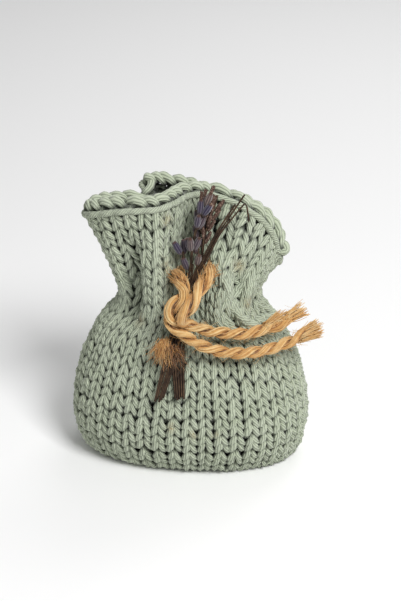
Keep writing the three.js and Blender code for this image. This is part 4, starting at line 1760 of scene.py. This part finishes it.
def in_metres(name: str, shape: bmesh.types.BMesh) -> Mesh:
    """Turn a shape in mm into a mesh in m, and free it.

    Args:
        name: name of the mesh.
        shape: the shape.

    Returns:
        The mesh.
    """
    bmesh.ops.scale(shape, vec=(MM, MM, MM), verts=shape.verts)
    mesh = bpy.data.meshes.new(name)
    shape.to_mesh(mesh)
    shape.free()
    return mesh


@dataclass
class Bunch:
    """Bunch of dried lavender that leans back against the bag. Sizes in mm."""

    stalk: Material
    calyx: Material
    petal: Material
    stem: float = 1.0
    stem_points: int = 64
    stem_bends: int = 14
    stem_stray: float = 0.1
    stem_sides: int = 8
    taper: tuple[float, float] = (1.05, 0.72)
    calyx_length: float = 6.2
    calyx_width: float = 2.8
    calyx_profile: tuple[tuple[float, float], ...] = (
        (0.02, 0.0), (0.42, 0.04), (0.76, 0.17), (0.98, 0.38), (1.0, 0.58), (0.84, 0.8), (0.6, 0.95),
        (0.5, 1.0), (0.3, 0.94), (0.02, 0.9),
    )
    calyx_sizes: tuple[float, float] = (0.92, 1.06)
    ribs: int = 8
    rib_scale: tuple[float, float] = (0.9, 1.06)
    husk_length: float = 4.4
    husk_radii: tuple[float, float] = (0.65, 0.75)
    husk_sides: int = 7
    husk_stray: float = 0.12
    husk_seat: float = 0.8
    splay: float = math.radians(18)
    seat: float = 0.8
    slim: float = 0.6
    seed: int = 71

    @staticmethod
    def world(points: Array) -> Array:
        """Turn points across, along and out of the bunch's plane into the shared frame, in mm."""
        c, s = math.cos(BUNCH_LEAN), math.sin(BUNCH_LEAN)
        return np.asarray(points, float) @ np.array([(1, 0, 0), (0, s, c), (0, -c, s)]) + BUNCH_ORIGIN

    def bud(self) -> Mesh:
        """Make one ribbed calyx that stands on its foot.

        Returns:
            Its mesh, with the ribs and the height in its UV map.
        """
        half, long = self.calyx_width / 2, self.calyx_length
        shape = bmesh.new()
        line = [shape.verts.new((r * half, y * long, 0)) for r, y in self.calyx_profile]
        edges = [shape.edges.new(pair) for pair in zip(line, line[1:])]
        bmesh.ops.spin(shape, geom=line + edges, axis=(0, 1, 0), cent=(0, 0, 0), angle=TURN,
                       steps=2 * self.ribs, use_merge=True)
        bmesh.ops.remove_doubles(shape, verts=shape.verts[:], dist=1e-4)
        bmesh.ops.recalc_face_normals(shape, faces=shape.faces[:])
        uv = shape.loops.layers.uv.new("UVMap")
        shape.verts.index_update()
        proud = {}
        for vert in shape.verts:
            column = round(math.atan2(vert.co.z, vert.co.x) / (math.pi / self.ribs)) % 2
            proud[vert.index] = float(column)
            vert.co.x *= self.rib_scale[column]
            vert.co.z *= self.rib_scale[column]
        for face in shape.faces:
            face.smooth = True
            face.material_index = 1
            for loop in face.loops:
                loop[uv].uv = (proud[loop.vert.index], loop.vert.co.y / long)
        return in_metres("calyx", shape)

    def husk(self) -> Mesh:
        """Make one shrivelled petal husk that stands on its foot.

        Returns:
            Its mesh.
        """
        shape = bmesh.new()
        foot, top = self.husk_radii
        bmesh.ops.create_cone(shape, cap_ends=True, segments=self.husk_sides, radius1=foot, radius2=top,
                              depth=self.husk_length)
        bmesh.ops.rotate(shape, verts=shape.verts, matrix=Matrix.Rotation(-math.pi / 2, 3, "X"))
        bmesh.ops.translate(shape, verts=shape.verts, vec=(0, self.husk_length / 2, 0))
        bmesh.ops.subdivide_edges(shape, edges=shape.edges[:], cuts=1, use_grid_fill=True)
        rng = np.random.default_rng(self.seed + 1)
        for vert in shape.verts:
            vert.co += Vector(rng.normal(0, self.husk_stray, 3))
        bmesh.ops.recalc_face_normals(shape, faces=shape.faces[:])
        for face in shape.faces:
            face.material_index = 2
        return in_metres("husk", shape)

    def build(self) -> None:
        """Make every stem of the bunch."""
        parts = (self.bud(), self.husk())
        for number, sprig in enumerate(SPRIGS):
            self.sprig(sprig, np.random.default_rng(self.seed + number), parts)
        for part in parts:
            bpy.data.meshes.remove(part)

    def sprig(self, sprig: Sprig, rng: Rng, parts: tuple[Mesh, ...]) -> None:
        """Make one stem with its calyxes.

        Args:
            sprig: its route and its calyxes.
            rng: source of its unevenness.
            parts: the meshes of a calyx and a petal husk.
        """
        count = self.stem_points
        line = smooth_line(sprig.points(), count)
        bends = np.linspace(0, count - 1, self.stem_bends)
        uneven = np.interp(np.arange(count), bends, rng.normal(0, self.stem_stray, self.stem_bends))
        thick = self.stem / 2 * (1 + uneven)
        if not sprig.calyxes:
            thick = thick * np.linspace(*self.taper, count)
        stem = Strand(self.world(line), thick)
        piece = strands_to_mesh(sprig.name + "_dried", [stem], self.stem_sides)
        slot, finishes = Slot.STEM, [self.stalk]
        if sprig.calyxes:
            self.add_buds(piece.data, sprig, line, rng, parts)
            slot = Slot.FLOWER
            finishes += [self.petal if sprig.spent else self.calyx, self.petal]
        dress(piece, slot, (sprig.name,), Body.BUNCH, *finishes)

    def add_buds(self, mesh: Mesh, sprig: Sprig, line: Array, rng: Rng,
                 parts: tuple[Mesh, ...]) -> None:
        """Seat calyxes round a stem, some with a petal husk in the mouth.

        Args:
            mesh: the stem's mesh, which they join.
            sprig: the stem's route and calyxes.
            line: even points along the stem, in the bunch's plane.
            rng: source of their unevenness.
            parts: the meshes of a calyx and a petal husk.
        """
        shape = bmesh.new()
        shape.from_mesh(mesh)
        heading = unit(np.gradient(line, axis=0))
        slim = Matrix.Diagonal((self.slim, 1, self.slim) if sprig.spent else (1, 1, 1))
        for bloom in sprig.calyxes:
            at = bloom.share * (len(line) - 1)
            k = min(int(at), len(line) - 2)
            middle = line[k] + (line[k + 1] - line[k]) * (at - k)
            way = Vector((0, 1, 0)).rotation_difference(Vector(heading[k])).to_matrix()
            round_stem = way @ Matrix.Rotation(math.radians(bloom.turn), 3, "Y")
            leaning = round_stem @ Matrix.Rotation(-self.splay, 3, "Z")
            size = rng.uniform(*self.calyx_sizes)
            seat = Vector(middle) + round_stem @ Vector((self.seat, 0, 0))
            lifts = (0.0, self.husk_seat * self.calyx_length * size)
            for part, lift in list(zip(parts, lifts))[:1 + bloom.husk]:
                local = leaning @ Matrix.Rotation(rng.uniform(0, TURN), 3, "Y") @ slim
                foot = seat + leaning @ Vector((0, lift, 0))
                start = len(shape.verts)
                shape.from_mesh(part)
                shape.verts.ensure_lookup_table()
                shade = shape.verts.layers.float["shade"]
                for vert in shape.verts[start:]:
                    vert[shade] = bloom.fade
                    vert.co = Vector(self.world(np.array(local @ (vert.co / MM * size) + foot)) * MM)
        shape.to_mesh(mesh)
        shape.free()


# Studio


@dataclass(frozen=True)
class Lamp:
    """One soft square lamp: its place and size in mm, and its power in W."""

    name: str
    place: Point
    size: float
    power: float

    def build(self, target: Point) -> None:
        """Hang the lamp so that it faces a target in mm.

        Args:
            target: place that it faces.
        """
        light = bpy.data.lights.new(self.name, "AREA")
        light.energy = self.power
        light.size = self.size * MM
        lamp = bpy.data.objects.new(self.name, light)
        lamp.location = Vector(self.place) * MM
        lamp.rotation_euler = (Vector(target) - Vector(self.place)).to_track_quat("-Z", "Y").to_euler()
        bpy.context.scene.collection.objects.link(lamp)


@dataclass
class Studio:
    """Camera at the photograph's angle, soft light and a pale floor. Distances in mm."""

    azimuth: float = 7.0
    elevation: float = 30.0
    distance: float = 750.0
    target: Point = (0.0, 0.0, 56.0)
    aim_right: float = 4.5
    aim_up: float = 13.6
    pixels_per_mm: float = 2.32
    frame_height: float = 601.0
    floor: float = 3000.0
    lamps: tuple[Lamp, ...] = (
        Lamp("key_light", (390, -440, 745), 340, 7.3), Lamp("fill_light", (-620, -380, 420), 500, 0.4),
        Lamp("back_light", (160, 560, 620), 500, 1.6),
    )
    lamp_target: Point = (0, 0, 50)
    sky: float = 0.29

    def build(self) -> None:
        """Set up the camera, the lights, the world and the floor."""
        self.camera()
        for lamp in self.lamps:
            lamp.build(self.lamp_target)
        bpy.context.scene.view_settings.view_transform = "Standard"
        world = bpy.data.worlds.new("studio")
        world.use_nodes = True
        background = world.node_tree.nodes["Background"].inputs
        background["Color"].default_value = (1.0, 1.0, 1.0, 1.0)
        background["Strength"].default_value = self.sky
        bpy.context.scene.world = world
        ground = bmesh.new()
        bmesh.ops.create_grid(ground, x_segments=1, y_segments=1, size=self.floor)
        floor = link_mesh("floor", in_metres("floor", ground))
        floor.data.materials.append(PaleFloor().material())

    def camera(self) -> None:
        """Set up the camera on the photograph's line of sight."""
        a, e = math.radians(self.azimuth), math.radians(self.elevation)
        back = Vector((math.sin(a) * math.cos(e), -math.cos(a) * math.cos(e), math.sin(e)))
        right = Vector((math.cos(a), math.sin(a), 0.0))
        eye = Vector(self.target) + back * self.distance
        aim = Vector(self.target) + right * self.aim_right + back.cross(right) * self.aim_up
        camera = bpy.data.cameras.new("camera")
        camera.sensor_fit = "VERTICAL"
        camera.angle_y = 2 * math.atan(self.frame_height / 2 / self.pixels_per_mm / self.distance)
        camera.clip_start = 0.01
        seat = bpy.data.objects.new("camera", camera)
        seat.location = eye * MM
        seat.rotation_euler = (aim - eye).to_track_quat("-Z", "Y").to_euler()
        bpy.context.scene.collection.objects.link(seat)
        bpy.context.scene.camera = seat


def main() -> None:
    """Build the studio and every piece of the sachet, in order."""
    logging.basicConfig(level=logging.INFO)
    Studio().build()
    yarn = CottonYarn().material()
    shape = BagShape()
    Knitting(shape, yarn).build()
    RimChain(shape, yarn).build()
    Seams(shape, yarn).build()
    calyx = DryCalyx().material()
    Liner(shape, Organza().material(), yarn, calyx).build()
    Binding(JuteFibre().material()).build()
    Bunch(DryStalk().material(), calyx, DryPetal().material()).build()


if __name__ == "__main__":
    main()
